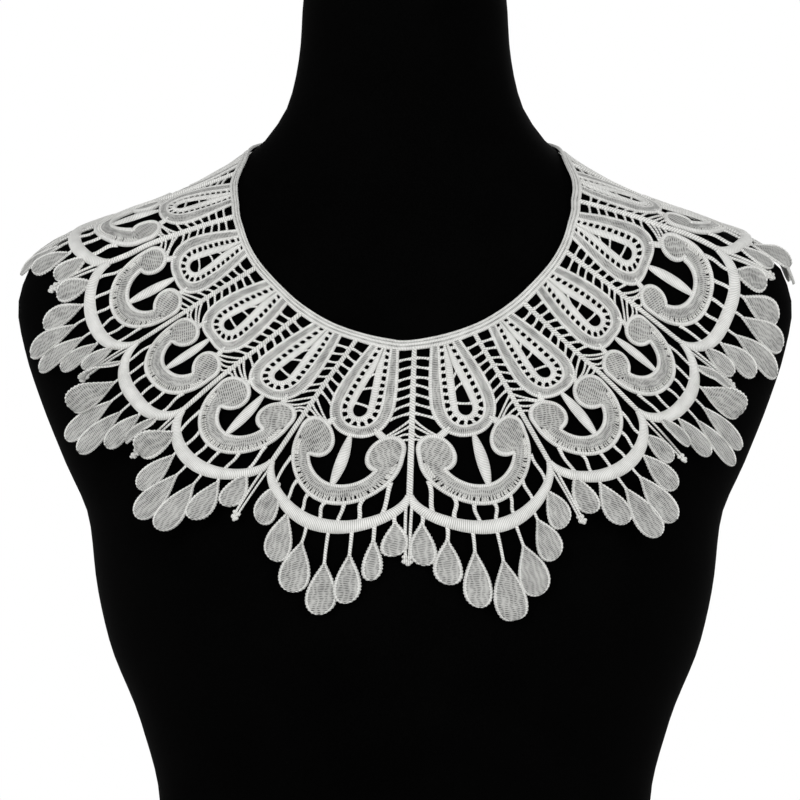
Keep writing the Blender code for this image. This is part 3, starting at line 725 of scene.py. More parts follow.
def oval(across, down, half_width, half_height, start_deg, end_deg, count=60):
    """Points of an oval between two angles, counted from its right side down."""
    angle = np.radians(np.linspace(start_deg, end_deg, count))
    return np.stack([across + half_width * np.cos(angle), down + half_height * np.sin(angle)], axis=-1)


def drop_line(row, top=LOOP_TOP, opens=None):
    """Line down one side of a drop, round its bottom and up its other side."""
    share = np.linspace(0, 1, SIDE_STEPS)
    down = top + (row.widest - top) * share
    bow = share
    if opens is not None:
        bow = np.clip((down - opens) / (row.widest - opens), 0, 1) ** 1.15
    bow = 0.45 * bow + 0.55 * np.sin(bow * math.pi / 2)
    side = np.stack([row.top_half + (row.half - row.top_half) * bow, down], axis=-1)
    turn = np.linspace(0, 1, ROUND_STEPS)[1:]
    angle = math.pi / 2 * turn ** 1.3 / (turn ** 1.3 + (1 - turn) ** 1.3)
    power = 2 / row.squareness
    bottom = np.stack([row.half * np.abs(np.cos(angle)) ** power,
                       row.widest + (row.bottom - row.widest) * np.sin(angle) ** power], axis=-1)
    right = np.concatenate([side, bottom])
    left = right[::-1][1:] * (-1, 1)
    return np.concatenate([right, left])


class Stitching:
    """Closed strips of thread for one half of the collar, kept flat until they are laid on the form."""

    def __init__(self):
        self.flat = []
        self.rise = []
        self.faces = []
        self.grain = []
        self.finish = []
        self.count = 0
        self.area = 0.0

    def sweep(self, left, right, section, place, height=1.0, lift=0.0, closed=False, grain_deg=None):
        """Strip between two edges, with a section across it and stitches that run across it."""
        steps = len(left)
        spots = len(section)
        middle = (left + right) / 2
        reach = (right - left) / 2
        half = np.linalg.norm(reach, axis=1)
        share = np.array([spot.share for spot in section], float)
        inset = np.array([spot.inset for spot in section])
        t = share * np.clip(1 - inset / np.maximum(half[:, None], 1e-6), 0.04, 1)
        flat = middle[:, None] + reach[:, None] * t[..., None]
        tall = np.broadcast_to(height, steps)[:, None] * np.array([spot.rise for spot in section])
        rise = tall + np.broadcast_to(lift, (steps, spots) if np.ndim(lift) == 2 else (steps,)).reshape(
            steps, -1)
        run = np.roll(middle, -1, axis=0) - middle
        if not closed:
            run[-1] = 0
        length = np.linalg.norm(run, axis=1)
        along = np.concatenate([[0], np.cumsum(length)])
        self.area += float((length * 2 * half).sum())
        turn = float((run[:, 0] * reach[:, 1] - run[:, 1] * reach[:, 0]).sum())
        if grain_deg is None:
            grain = np.stack([np.broadcast_to(along[:steps, None], t.shape), t * half[:, None]], axis=-1)
        else:
            angle = math.radians(grain_deg)
            grain = flat @ np.array([[math.cos(angle), -math.sin(angle)],
                                     [math.sin(angle), math.cos(angle)]])
        last = steps if closed else steps - 1
        for i in range(last):
            after = (i + 1) % steps
            for j in range(spots):
                k = (j + 1) % spots
                corners = [(i, j), (i, k), (after, k), (after, j)]
                marks = [grain[corner] for corner in corners]
                if after == 0 and grain_deg is None:
                    marks[2] = (along[-1], marks[2][1])
                    marks[3] = (along[-1], marks[3][1])
                self.add_face(corners, marks, spots, section[j].finish, turn < 0)
        if not closed:
            for i, back in ((0, turn >= 0), (steps - 1, turn < 0)):
                corners = [(i, j) for j in range(spots)]
                self.add_face(corners, [grain[corner] for corner in corners], spots,
                              section[0].finish, back)
        self.flat.append(place(flat.reshape(-1, 2)))
        self.rise.append(rise.reshape(-1))
        self.count += steps * spots

    def add_face(self, corners, marks, spots, finish, back):
        """Keep one face of the strip being made."""
        if back:
            corners = corners[::-1]
            marks = marks[::-1]
        self.faces.append([self.count + i * spots + j for i, j in corners])
        self.grain.extend(marks)
        self.finish.append(finish)

    def line(self, centre, halves, section, place, **more):
        """Strip along a centre line."""
        left, right = edges_of(centre, halves)
        self.sweep(left, right, section, place, **more)

    def thread(self, start, end, width, place, bend=0.0, steps=4, flare=1.3):
        """Short thread from one point to another, wider where it joins."""
        start = np.asarray(start, float)
        end = np.asarray(end, float)
        share = np.linspace(0, 1, steps)
        aside = np.array([-(end - start)[1], (end - start)[0]])
        bow = np.sin(share * math.pi) * bend
        centre = start + share[:, None] * (end - start) + bow[:, None] * unit(aside)
        wide = np.ones(steps)
        wide[0] = flare
        wide[-1] = flare
        self.line(centre, wide * width / 2, THREAD, place)

    def make(self, name, slack, materials):
        """Mesh object of all the strips, laid on the form."""
        flat = np.concatenate(self.flat)
        base, outward = DRAPE.carry(flat)
        deep = np.clip((flat[:, 1] - 40) / (LOWEST - 40), 0, 1) ** 1.5
        wave = 0.55 + 0.45 * np.sin(flat[:, 0] * 3.1 + 0.8) * np.cos(flat[:, 0] * 1.3)
        off = LIFT + np.concatenate(self.rise) + slack * deep * wave
        points = (base + outward * off[:, None]) * MM
        mesh = bpy.data.meshes.new(name)
        mesh.from_pydata(points.tolist(), [], self.faces)
        mesh.polygons.foreach_set("material_index", self.finish)
        grain = mesh.uv_layers.new(name="grain")
        grain.data.foreach_set("uv", (np.array(self.grain) * MM).ravel())
        for material in materials:
            mesh.materials.append(material)
        mesh.update()
        thing = bpy.data.objects.new(name, mesh)
        bpy.context.scene.collection.objects.link(thing)
        return thing


# Pieces of one repeat
def draw_loop(stitching, repeat, sizes):
    """Drop-shaped loop: a wide band, a row of dots, a narrow band and a hole with thin threads."""
    edge = drop_line(LOOP_EDGE)
    inner = drop_line(LOOP_INNER)
    collar = drop_line(COLLAR_EDGE)
    hole = drop_line(HOLE_EDGE, opens=HOLE_TOP)
    stitching.sweep(edge, inner, LOOP_BAND, repeat.place)
    stitching.sweep(collar, hole, PADDED, repeat.place, height=0.5)
    width = sizes.thread_width / MM
    length = lengths((inner + collar) / 2)
    for i in range(sizes.dot_count):
        at = length[-1] * (i + 0.8) / (sizes.dot_count + 0.6)
        ends = [points_at(line, length, at) for line in (inner, collar)]
        way = unit(ends[1] - ends[0])
        lean = np.array([0, repeat.little(0.25)])
        stitching.thread(ends[0] - way * OVERLAP + lean, ends[1] + way * OVERLAP, width * 1.15,
                         repeat.place, flare=JOINED)
    for row in HOLE_THREADS:
        slant = row.slant + repeat.little(0.6)
        reach = row.half + OVERLAP
        stitching.thread((-reach, row.down + slant), (reach, row.down - slant), width * 0.9, repeat.place,
                         bend=repeat.little(0.5))


def edge_at(down):
    """How far the loop's outer edge is from the repeat's middle at a depth."""
    line = drop_line(LOOP_EDGE)[:SIDE_STEPS + ROUND_STEPS - 2]
    return float(np.interp(down, line[:, 1], line[:, 0]))


def draw_ladders(stitching, repeat, sizes):
    """Threads from the loop to the ribs, straight above and fanned out over the knobs."""
    width = sizes.thread_width / MM
    rib_half = sizes.rib_width / MM / 2
    for side in (-1, 1):
        knob = knob_of(repeat, side, sizes)
        for i in range(LADDER_THREADS):
            down = LADDER_TOP + LADDER_PITCH * i
            start = down + repeat.little(0.45)
            end = down + repeat.little(0.45) + LADDER_SLANT + LADDER_MORE_SLANT * i
            stitching.thread((side * (float(repeat.half(start)) - rib_half + OVERLAP), start),
                             (side * (edge_at(end) - OVERLAP), end), width, repeat.place,
                             bend=repeat.little(0.35), flare=JOINED)
        for row in FAN_THREADS:
            start = row.down + repeat.little(0.5)
            radians = math.radians(row.meets_deg + repeat.little(5))
            end = (side * (knob.across + (knob.half_width - 0.5) * math.cos(radians)),
                   KNOB_LEVEL + (knob.half_height - 0.5) * math.sin(radians))
            stitching.thread((side * (float(repeat.half(start)) - rib_half + OVERLAP), start), end,
                             width * 0.95, repeat.place, bend=repeat.little(0.9), steps=5)


def scroll_half(repeat, sizes):
    """Half of the scroll's outer width, which just reaches the ribs."""
    return float(repeat.half(SCROLL_LEVEL)) - sizes.rib_width / MM / 2 + 0.5


Knob = namedtuple("Knob", "across half_width half_height")


def knob_of(repeat, side, sizes):
    """Where one knob of a scroll is drawn, and its flat size, so that it is round on the form."""
    wide = scroll_half(repeat, sizes) * (1 - SCROLL_PINCH)
    share = float(np.interp(abs(repeat.number + 0.5), [row.from_front for row in KNOB_SIZES],
                            [row.share for row in KNOB_SIZES]))
    half_width = sizes.knob_width / MM / 2 * repeat.narrowing * share
    half_height = sizes.knob_height / MM / 2 * share
    x = side * (wide - half_width)
    flat = np.array([(x, KNOB_LEVEL), (x + 1, KNOB_LEVEL), (x, KNOB_LEVEL + 1)], float)
    points, _ = DRAPE.carry(repeat.place(flat))
    grown = np.linalg.norm(points[1:] - points[0], axis=1)
    half_width *= float(np.clip(1 / grown[0], 0.85, 1.25))
    half_height *= float(np.clip(1 / grown[1], 0.85, 1.1))
    return Knob(wide - half_width, half_width, half_height)


def bowl(half_width, drop, start_deg, end_deg, count=60):
    """Points of the scroll's lower part, an oval drawn in a little toward its top."""
    line = oval(0, SCROLL_LEVEL, half_width, drop, start_deg, end_deg, count)
    high = 1 - np.clip((line[:, 1] - SCROLL_LEVEL) / drop, 0, 1)
    line[:, 0] *= 1 - SCROLL_PINCH * high ** 2
    return line


def draw_scroll(stitching, repeat, sizes):
    """Open ring whose ends curl into round knobs, with a padded rim and a woven fill."""
    rim = sizes.rim_width / MM
    outer = scroll_half(repeat, sizes)
    band = sizes.scroll_band / MM
    inner = outer - band * repeat.narrowing
    inner_drop = SCROLL_DROP - band
    sides = {side: knob_of(repeat, side, sizes) for side in (-1, 1)}
    outline = []
    for side, knob in sides.items():
        lower = bowl(inner + rim / 2, inner_drop + rim / 2, 90, 2 * RIM_FROM)
        off = (lower - (knob.across, KNOB_LEVEL)) / (knob.half_width, knob.half_height)
        lower = lower[(off ** 2).sum(axis=1) > 0.9]
        curl = oval(knob.across, KNOB_LEVEL, knob.half_width - rim / 2, knob.half_height - rim / 2,
                    KNOB_TURN, 0)
        under = bowl(outer - rim / 2, SCROLL_DROP - rim / 2, RIM_FROM, 90)
        outline.append(np.concatenate([lower, curl, under]) * (side, 1))
    left, right = outline
    path = even(np.concatenate([right, left[::-1]]), 176)
    stitching.line(path[:-1], rim / 2, RIM, repeat.place, closed=True)
    slit = 1.9 * repeat.narrowing
    seam = rim + slit
    stitching.sweep(
        even(bowl(inner + 1.2, inner_drop + 1.2, 180 - WEB_FROM, WEB_FROM), 48),
        even(bowl(outer - seam, SCROLL_DROP - seam, 180 - WEB_FROM, WEB_FROM), 48),
        WEB, repeat.place)
    count = int(50 * repeat.narrowing)
    rim_side = bowl(outer - rim + 0.3, SCROLL_DROP - rim + 0.3, 180 - SLITS_FROM, SLITS_FROM)
    web_side = bowl(outer - seam - 0.3, SCROLL_DROP - seam - 0.3, 180 - SLITS_FROM, SLITS_FROM)
    places = (np.arange(count) + repeat.chance.uniform(-0.24, 0.24, count) + 0.5) / count
    rim_side = at_shares(rim_side, places)
    web_side = at_shares(web_side, places)
    for i in range(count):
        near_knob = min(i, count - 1 - i) < THICK_SLITS
        half = 0.8 if near_knob else 0.44 + abs(repeat.little(0.18))
        stitching.line(np.stack([rim_side[i], web_side[i]]), half, SLIT_THREAD, repeat.place)
    for side, knob in sides.items():
        ring = oval(side * knob.across, KNOB_LEVEL, knob.half_width - rim * 0.6,
                    knob.half_height - rim * 0.6, 0, 360, 41)[:-1]
        centre = np.broadcast_to(ring.mean(axis=0), ring.shape)
        stitching.sweep(ring, centre, KNOB_FILL, repeat.place, closed=True, grain_deg=90 - side * 32)
        tie = [(side * 9.8, 43.4), (side * (knob.across - 2.2), KNOB_LEVEL - knob.half_height + 1.6)]
        stitching.line(even(tie, 4), 1.5, PADDED, repeat.place, height=0.45)


def draw_leaf(stitching, repeat, sizes):
    """Slim padded leaf between loop and scroll."""
    share = np.linspace(0, 1, 28)
    lean = repeat.little(1.0)
    centre = np.stack([lean * (0.5 - share) + 0.5 * np.sin(share * math.pi),
                       LEAF_TOP + (LEAF_BOTTOM - LEAF_TOP) * share], axis=-1)
    full = np.sin(math.pi * (0.02 + 0.96 * share)) ** 0.85
    halves = 0.45 + (sizes.leaf_width / MM / 2 - 0.45) * full
    stitching.line(centre, halves, PADDED, repeat.place, height=0.3 + 0.42 * full)


def arc_line(repeat, across):
    """Depth of the arc's middle line at places across."""
    reach = np.clip(np.abs(across) / float(repeat.half(JUNCTION)), 0, 1)
    return JUNCTION + ARC_DROP * np.sqrt(1 - reach ** 2)


def draw_arc(stitching, repeat, sizes):
    """Padded arc from rib to rib, and the short wavy bars that hang it from the scroll."""
    reach = float(repeat.half(JUNCTION))
    centre = even(oval(0, JUNCTION, reach, ARC_DROP, 180, 0, 120), 74)
    full = np.sin(np.linspace(0, math.pi, len(centre))) ** 0.7
    halves = 1.6 + (sizes.arc_width / MM / 2 - 1.6) * full
    stitching.line(centre, halves, PADDED, repeat.place, height=0.55 + 0.45 * full)
    outer = scroll_half(repeat, sizes)
    width = sizes.bar_width / MM
    for place in repeat.bars:
        x = place * repeat.narrowing + repeat.little(0.5)
        low = x * 1.08 + repeat.little(0.7)
        top = SCROLL_LEVEL + SCROLL_DROP * math.sqrt(1 - (x / outer) ** 2) - 1.2
        bottom = float(arc_line(repeat, low)) - 0.6
        share = np.linspace(0, 1, 8)
        sway = repeat.little(1.0) * np.sin(share * math.pi)
        sway = sway + repeat.little(0.8) * np.sin(share * 2 * math.pi)
        centre = np.stack([x + (low - x) * share + sway, top + (bottom - top) * share], axis=-1)
        halves = width / 2 * (1 + 0.35 * (2 * share - 1) ** 4)
        stitching.line(centre, halves, THREAD, repeat.place, height=1.35)


def petal_edge(blade, width, sizes):
    """Distance down the blade and half width at even steps round a petal's beaded edge."""
    share = np.linspace(0, 1, 400)
    round_end = np.clip((share - PETAL_WIDEST) / (1 - PETAL_WIDEST), 0, 1)
    half = np.where(share < PETAL_WIDEST,
                    np.sin(math.pi / 2 * np.clip(share / PETAL_WIDEST, 0, 1)) ** 1.12,
                    np.sqrt(np.clip(1 - round_end ** 2.3, 0, 1)))
    edge = even(np.stack([share * blade, 0.3 + (width / 2 - 0.3) * half], axis=-1), PETAL_STEPS)
    length = np.linspace(0, 1, PETAL_STEPS) * float(np.linalg.norm(np.diff(edge, axis=0), axis=1).sum())
    out = unit(np.gradient(edge, axis=0)) @ np.array([[0, 1], [-1, 0]])
    bead = 0.5 - 0.5 * np.cos(2 * math.pi * length / (sizes.bead_pitch / MM))
    grown = edge + out * (bead * sizes.bead_height / MM)[:, None]
    return grown


def draw_petals(stitching, repeat, sizes):
    """Petals with beaded edges, each on a short stem below the arc."""
    turned = {row.petal: row for row in TURNED if row.repeat == repeat.number}
    for index, row in enumerate(repeat.petals):
        across = row.hang * repeat.narrowing
        hang = np.array([across, float(arc_line(repeat, across)) + 0.5])
        tip = np.array([row.tip_across * repeat.narrowing + repeat.little(0.9),
                        row.tip_down + repeat.little(1.2)])
        way = unit(tip - hang)
        aside = np.array([-way[1], way[0]])
        blade = row.blade + repeat.little(0.6)
        edge = petal_edge(blade, row.width * repeat.narrowing * PETAL_FULLNESS, sizes)
        down = (tip - way * blade) + edge[:, :1] * way
        left = down + aside * edge[:, 1:]
        right = down - aside * edge[:, 1:]
        share = edge[:, 0] / blade
        swell = np.clip(edge[:, 1] / 1.6, 0.45, 1)
        tilt = math.tan(math.radians(repeat.little(5)))
        rise = 0.15 + abs(repeat.little(0.5)) * share
        if index in turned:
            tilt = math.tan(math.radians(turned[index].twist_deg))
            rise = rise + turned[index].lift * share
        across_share = np.array([spot.share for spot in PETAL])
        lean = across_share * edge[:, 1:] * tilt * np.clip(share * 2, 0, 1)[:, None]
        lift = rise[:, None] + lean - np.minimum(lean.min(axis=1), 0)[:, None]
        stitching.sweep(left, right, PETAL, repeat.place, height=swell, lift=lift)
        start = hang
        end = tip - way * (blade - 1.4)
        share = np.linspace(0, 1, 6)
        sway = repeat.little(0.5) * np.sin(share * math.pi)
        stem = start + share[:, None] * (end - start) + sway[:, None] * aside
        stitching.line(stem, 0.72 * (1 + 0.3 * (1 - share) ** 3), THREAD, repeat.place, height=1.3)


def draw_rib(stitching, rib, sizes):
    """Rib of two cords where two repeats meet, and its tail of two strands."""
    half = sizes.rib_width / MM / 2
    inset = 0.0
    if abs(rib) == REPEATS_A_SIDE:
        inset = -math.copysign(half + BACK_GAP / 2, rib)
    place = rib_place(rib)
    down = np.linspace(sizes.band_depth / MM - 1.0, JUNCTION + 2.0, 32)
    stitching.line(np.stack([np.full(len(down), inset), down], axis=-1), half, RIB, place)
    chance = np.random.default_rng(sizes.seed + 500 + rib)
    share = np.linspace(0, 1, 16)
    for side in (-1, 1):
        sway = chance.uniform(-0.5, 0.5) * np.sin(share * math.pi)
        across = inset + side * (1.15 - 0.45 * share ** 2) + sway
        strand = np.stack([across, JUNCTION + (TAIL_END - JUNCTION) * share], axis=-1)
        stitching.line(strand, 0.62, THREAD, place, height=1.3)
    for row in TAIL_BEADS:
        across = inset + row.across + chance.uniform(-0.3, 0.3)
        bead = oval(across, TAIL_END + row.down, row.size, row.size * 0.9, 0, 360, 13)[:-1]
        centre = np.broadcast_to(bead.mean(axis=0), bead.shape)
        stitching.sweep(bead, centre, BEAD, place, closed=True, grain_deg=0)


def draw_band(stitching, side, sizes):
    """Neck band of one half, one straight strip along the neck edge."""
    last = (REPEATS_A_SIDE * NECK_WIDTH - BACK_GAP / 2) * side
    across = np.linspace(0, last, 170)
    top = np.stack([across, np.zeros(len(across))], axis=-1)
    bottom = np.stack([across, np.full(len(across), sizes.band_depth / MM)], axis=-1)

    def place(flat):
        return flat / (NECK_WIDTH, 1)

    stitching.sweep(top, bottom, NECK_BAND, place)


# Materials
def add_node(tree, kind, values=None, links=None, **settings):
    """Add a node with its settings, socket values and links from (node, output) pairs."""
    node = tree.nodes.new(kind)
    for name, value in settings.items():
        setattr(node, name, value)
    for name, value in (values or {}).items():
        node.inputs[name].default_value = value
    for name, (source, output) in (links or {}).items():
        tree.links.new(source.outputs[output], node.inputs[name])
    return node


def start_material(name, **values):
    """New material and its shader, with constant values on the shader's own sockets."""
    material = bpy.data.materials.new(name)
    material.use_nodes = True
    shader = material.node_tree.nodes["Principled BSDF"]
    for socket, value in values.items():
        shader.inputs[socket.replace("_", " ")].default_value = value
    return material, material.node_tree, shader


def make_cotton(name, bright, painted_shade_and_gaps, pitch, depth, slant=0.0, rows=0.0):
    """Stitched cotton: ridges across the strip by the grain map, with fine fibre over them."""
    material, tree, shader = start_material(
        name, Roughness=0.82, Specular_IOR_Level=0.25, Sheen_Weight=0.12, Sheen_Roughness=0.5)
    grain = add_node(tree, "ShaderNodeUVMap", uv_map="grain")
    # The wave's ridges are 0.314 of a unit apart at scale 1
    laid = add_node(tree, "ShaderNodeMapping",
                    values={"Rotation": (0, 0, slant), "Scale": (0.314 / pitch,) * 3},
                    links={"Vector": (grain, 0)})
    ridges = add_node(tree, "ShaderNodeTexWave",
                      values={"Scale": 1.0, "Distortion": 1.1, "Detail": 2.0, "Detail Scale": 1.6},
                      links={"Vector": (laid, 0)}, bands_direction="X")
    stitches = (ridges, "Fac")
    if rows:
        # Rows of needle holes, which cross the stitches and show where two stitches part
        holes = add_node(tree, "ShaderNodeTexWave",
                         values={"Scale": pitch / rows, "Distortion": 7.0, "Detail": 3.0,
                                 "Detail Scale": 1.8},
                         links={"Vector": (laid, 0)}, bands_direction="Y")
        between = add_node(tree, "ShaderNodeMath", values={1: 0.72}, links={0: (holes, "Fac")},
                           operation="MULTIPLY")
        closed = add_node(tree, "ShaderNodeMath", links={0: (ridges, "Fac"), 1: (between, "Value")},
                          operation="MAXIMUM")
        stitches = (closed, "Value")
    place = add_node(tree, "ShaderNodeTexCoord")
    # Cotton fibre, drawn at 0.35 mm because real fibre is too fine to show
    fibre = add_node(tree, "ShaderNodeTexNoise",
                     values={"Scale": 1 / 0.00035, "Detail": 3.0, "Roughness": 0.6},
                     links={"Vector": (place, "Object")})
    # Uneven tension over some 6 mm
    tension = add_node(tree, "ShaderNodeTexNoise", values={"Scale": 1 / 0.006, "Detail": 3.0},
                       links={"Vector": (place, "Object")})
    mixed = add_node(tree, "ShaderNodeMix", values={"Factor": 0.3},
                     links={"A": stitches, "B": (fibre, "Fac")})
    uneven = add_node(tree, "ShaderNodeMath", values={1: 0.75, 2: -0.33}, links={0: (tension, "Fac")},
                      operation="MULTIPLY_ADD")
    shown = add_node(tree, "ShaderNodeMath", links={0: (mixed, 0), 1: (uneven, 0)}, operation="ADD",
                     use_clamp=True)
    # The ramp's dark end is painted shade in the stitch valleys for satin and corded thread, and the dark
    # form seen through the gaps for the two fills
    ramp = add_node(tree, "ShaderNodeValToRGB", links={"Fac": (shown, 0)})
    ramp.color_ramp.elements[0].position = 0.2
    ramp.color_ramp.elements[0].color = (*painted_shade_and_gaps, 1)
    ramp.color_ramp.elements[1].position = 0.8
    ramp.color_ramp.elements[1].color = (*bright, 1)
    bump = add_node(tree, "ShaderNodeBump", values={"Strength": 0.7, "Distance": depth},
                    links={"Height": (mixed, 0)})
    tree.links.new(ramp.outputs["Color"], shader.inputs["Base Color"])
    tree.links.new(bump.outputs["Normal"], shader.inputs["Normal"])
    return material


def lace_materials(finish):
    """The finishes of the lace, in the order of SATIN, FILL, CORD and OPEN_FILL."""
    pitch = finish.stitch_pitch
    names = ("padded satin stitch", "woven fill", "corded thread", "open woven fill")
    found = [bpy.data.materials.get(name) for name in names]
    if all(found):
        return found
    return [
        # Cotton satin stitch over padding: close, bright, rounded threads side by side, with painted shade
        # in the valleys between them
        make_cotton("padded satin stitch", finish.thread, finish.stitch_valley_painted_shade, pitch, 0.00012),
        # Thin machine-laid fill: greyer, because the dark form shows between its threads
        make_cotton("woven fill", finish.fill_thread, finish.fill_shade, pitch * 1.1, 0.00018,
                    rows=0.0024),
        # Thread wound round a core: slanting turns and a slightly duller white, with painted shade between
        # the turns
        make_cotton("corded thread", finish.thread, finish.stitch_valley_painted_shade, pitch * 1.4, 0.00016, slant=0.6),
        # Slanting fill with small gaps, where more of the dark form shows
        make_cotton("open woven fill", finish.fill_thread, finish.open_shade, pitch * 1.3, 0.00022,
                    rows=0.0020),
    ]


def make_velvet(finish):
    """Cotton velvet dyed black: almost no reflection, with a nap that lies over in patches, where a slightly
    lighter base colour is painted sheen.
    """
    material, tree, shader = start_material(
        "black cotton velvet", Roughness=1.0, Specular_IOR_Level=0.02)
    place = add_node(tree, "ShaderNodeTexCoord")
    patches = add_node(tree, "ShaderNodeTexNoise", values={"Scale": 1 / 0.045, "Detail": 3.0},
                       links={"Vector": (place, "Object")})
    # Nap drawn at 0.6 mm, coarser than real pile so that it shows
    nap = add_node(tree, "ShaderNodeTexNoise", values={"Scale": 1 / 0.0006, "Detail": 2.0},
                   links={"Vector": (place, "Object")})
    both = add_node(tree, "ShaderNodeMath", values={1: 0.5}, links={0: (patches, "Fac"), 2: (nap, "Fac")},
                    operation="MULTIPLY_ADD")
    # Painted sheen: where the patches and the nap are high, the base colour goes from the black cover to the
    # lighter nap colour; the nap also drives the real bump below
    ramp = add_node(tree, "ShaderNodeValToRGB", links={"Fac": (both, 0)})
    ramp.color_ramp.elements[0].position = 0.55
    ramp.color_ramp.elements[0].color = (*finish.cover, 1)
    ramp.color_ramp.elements[1].position = 1.0
    ramp.color_ramp.elements[1].color = (*finish.nap_painted_sheen, 1)
    bump = add_node(tree, "ShaderNodeBump", values={"Strength": 0.4, "Distance": 0.0002},
                    links={"Height": (nap, "Fac")})
    tree.links.new(ramp.outputs["Color"], shader.inputs["Base Color"])
    tree.links.new(bump.outputs["Normal"], shader.inputs["Normal"])
    return material


# Operators
PARTS = {}


def deselect():
    """Leave nothing selected and no edit mode open."""
    if bpy.context.object and bpy.context.object.mode != "OBJECT":
        bpy.ops.object.mode_set(mode="OBJECT")
    bpy.ops.object.select_all(action="DESELECT")


def add_parts(context, kind, draw_side):
    """Draw one kind of piece for both halves and keep the two objects for joining."""
    sizes = context.scene.collar_sizes
    for name, side in (("left", -1), ("right", 1)):
        stitching = Stitching()
        draw_side(stitching, side)
        finishes = lace_materials(context.scene.collar_finish)
        part = stitching.make(kind + "_" + name, sizes.slack / MM, finishes)
        PARTS.setdefault(name, []).append((part, stitching.area))


def repeats_of(side, sizes):
    """Repeats of one half, from the middle front to the back."""
    numbers = range(0, REPEATS_A_SIDE) if side > 0 else range(-1, -REPEATS_A_SIDE - 1, -1)
    return [Repeat(number, sizes.seed) for number in numbers]


class COLLAR_OT_form_cover(bpy.types.Operator):
    """Add the velvet cover of the dress form"""

    bl_idname = "collar.form_cover"
    bl_label = "Form Cover"

    def execute(self, context):
        top = FORM_TOP * MM
        deselect()
        bpy.ops.mesh.primitive_cylinder_add(vertices=FORM_SIDES, radius=0.1, depth=top,
                                            end_fill_type="NGON", location=(0, 0, top / 2))
        cover = context.object
        cover.name = "form_cover"
        bpy.ops.object.transform_apply(location=True, rotation=True, scale=True)
        bpy.ops.object.mode_set(mode="EDIT")
        bpy.ops.mesh.select_mode(type="EDGE")
        bpy.ops.mesh.select_all(action="DESELECT")
        bpy.ops.object.mode_set(mode="OBJECT")
        mesh = cover.data
        for edge in mesh.edges:
            a, b = (mesh.vertices[i].co for i in edge.vertices)
            edge.select = abs(a.z - b.z) > top / 2
        bpy.ops.object.mode_set(mode="EDIT")
        bpy.ops.mesh.subdivide(number_cuts=FORM_CUTS)
        bpy.ops.object.mode_set(mode="OBJECT")
        for vertex in mesh.vertices:
            around = np.arctan2([vertex.co.x], [-vertex.co.y])
            vertex.co = form_point(around, vertex.co.z / MM)[0] * MM
        bpy.ops.object.mode_set(mode="EDIT")
        bpy.ops.mesh.select_all(action="DESELECT")
        bpy.ops.object.mode_set(mode="OBJECT")
        for edge in mesh.edges:
            heights = [mesh.vertices[i].co.z for i in edge.vertices]
            edge.select = max(heights) < 1e-6 or min(heights) > top - 1e-6
        bpy.ops.object.mode_set(mode="EDIT")
        bpy.ops.mesh.bevel(offset=0.0025, segments=3, profile=0.5)
        bpy.ops.mesh.select_all(action="SELECT")
        bpy.ops.mesh.normals_make_consistent(inside=False)
        bpy.ops.object.mode_set(mode="OBJECT")
        bpy.ops.object.shade_smooth_by_angle(angle=math.radians(50))
        mesh.materials.clear()
        mesh.materials.append(make_velvet(context.scene.collar_finish))
        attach(cover, "root")
        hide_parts("dress_form")
        return {"FINISHED"}


class COLLAR_OT_neck_band(bpy.types.Operator):
    """Add the neck band"""

    bl_idname = "collar.neck_band"
    bl_label = "Neck Band"

    def execute(self, context):
        sizes = context.scene.collar_sizes
        add_parts(context, "neck_band", lambda stitching, side: draw_band(stitching, side, sizes))
        return {"FINISHED"}


class COLLAR_OT_loops(bpy.types.Operator):
    """Add the drop-shaped loops and the ladders beside them"""

    bl_idname = "collar.loops"
    bl_label = "Loops and Ladders"

    def execute(self, context):
        sizes = context.scene.collar_sizes

        def draw(stitching, side):
            for repeat in repeats_of(side, sizes):
                draw_loop(stitching, repeat, sizes)
                draw_ladders(stitching, repeat, sizes)

        add_parts(context, "loops", draw)
        return {"FINISHED"}


class COLLAR_OT_scrolls(bpy.types.Operator):
    """Add the scrolls with their knobs and leaves"""

    bl_idname = "collar.scrolls"
    bl_label = "Scrolls and Leaves"

    def execute(self, context):
        sizes = context.scene.collar_sizes

        def draw(stitching, side):
            for repeat in repeats_of(side, sizes):
                draw_scroll(stitching, repeat, sizes)
                draw_leaf(stitching, repeat, sizes)

        add_parts(context, "scrolls", draw)
        return {"FINISHED"}


class COLLAR_OT_arcs(bpy.types.Operator):
    """Add the padded arcs, their bars and the petals that hang from them"""

    bl_idname = "collar.arcs"
    bl_label = "Arcs and Petals"

    def execute(self, context):
        sizes = context.scene.collar_sizes

        def draw(stitching, side):
            for repeat in repeats_of(side, sizes):
                draw_arc(stitching, repeat, sizes)
                draw_petals(stitching, repeat, sizes)

        add_parts(context, "arcs", draw)
        return {"FINISHED"}


class COLLAR_OT_ribs(bpy.types.Operator):
    """Add the ribs between the repeats, with their tails"""

    bl_idname = "collar.ribs"
    bl_label = "Ribs"

    def execute(self, context):
        sizes = context.scene.collar_sizes

        def draw(stitching, side):
            ribs = range(0, REPEATS_A_SIDE + 1) if side > 0 else range(-REPEATS_A_SIDE, 0)
            for rib in ribs:
                draw_rib(stitching, rib, sizes)

        add_parts(context, "ribs", draw)
        return {"FINISHED"}


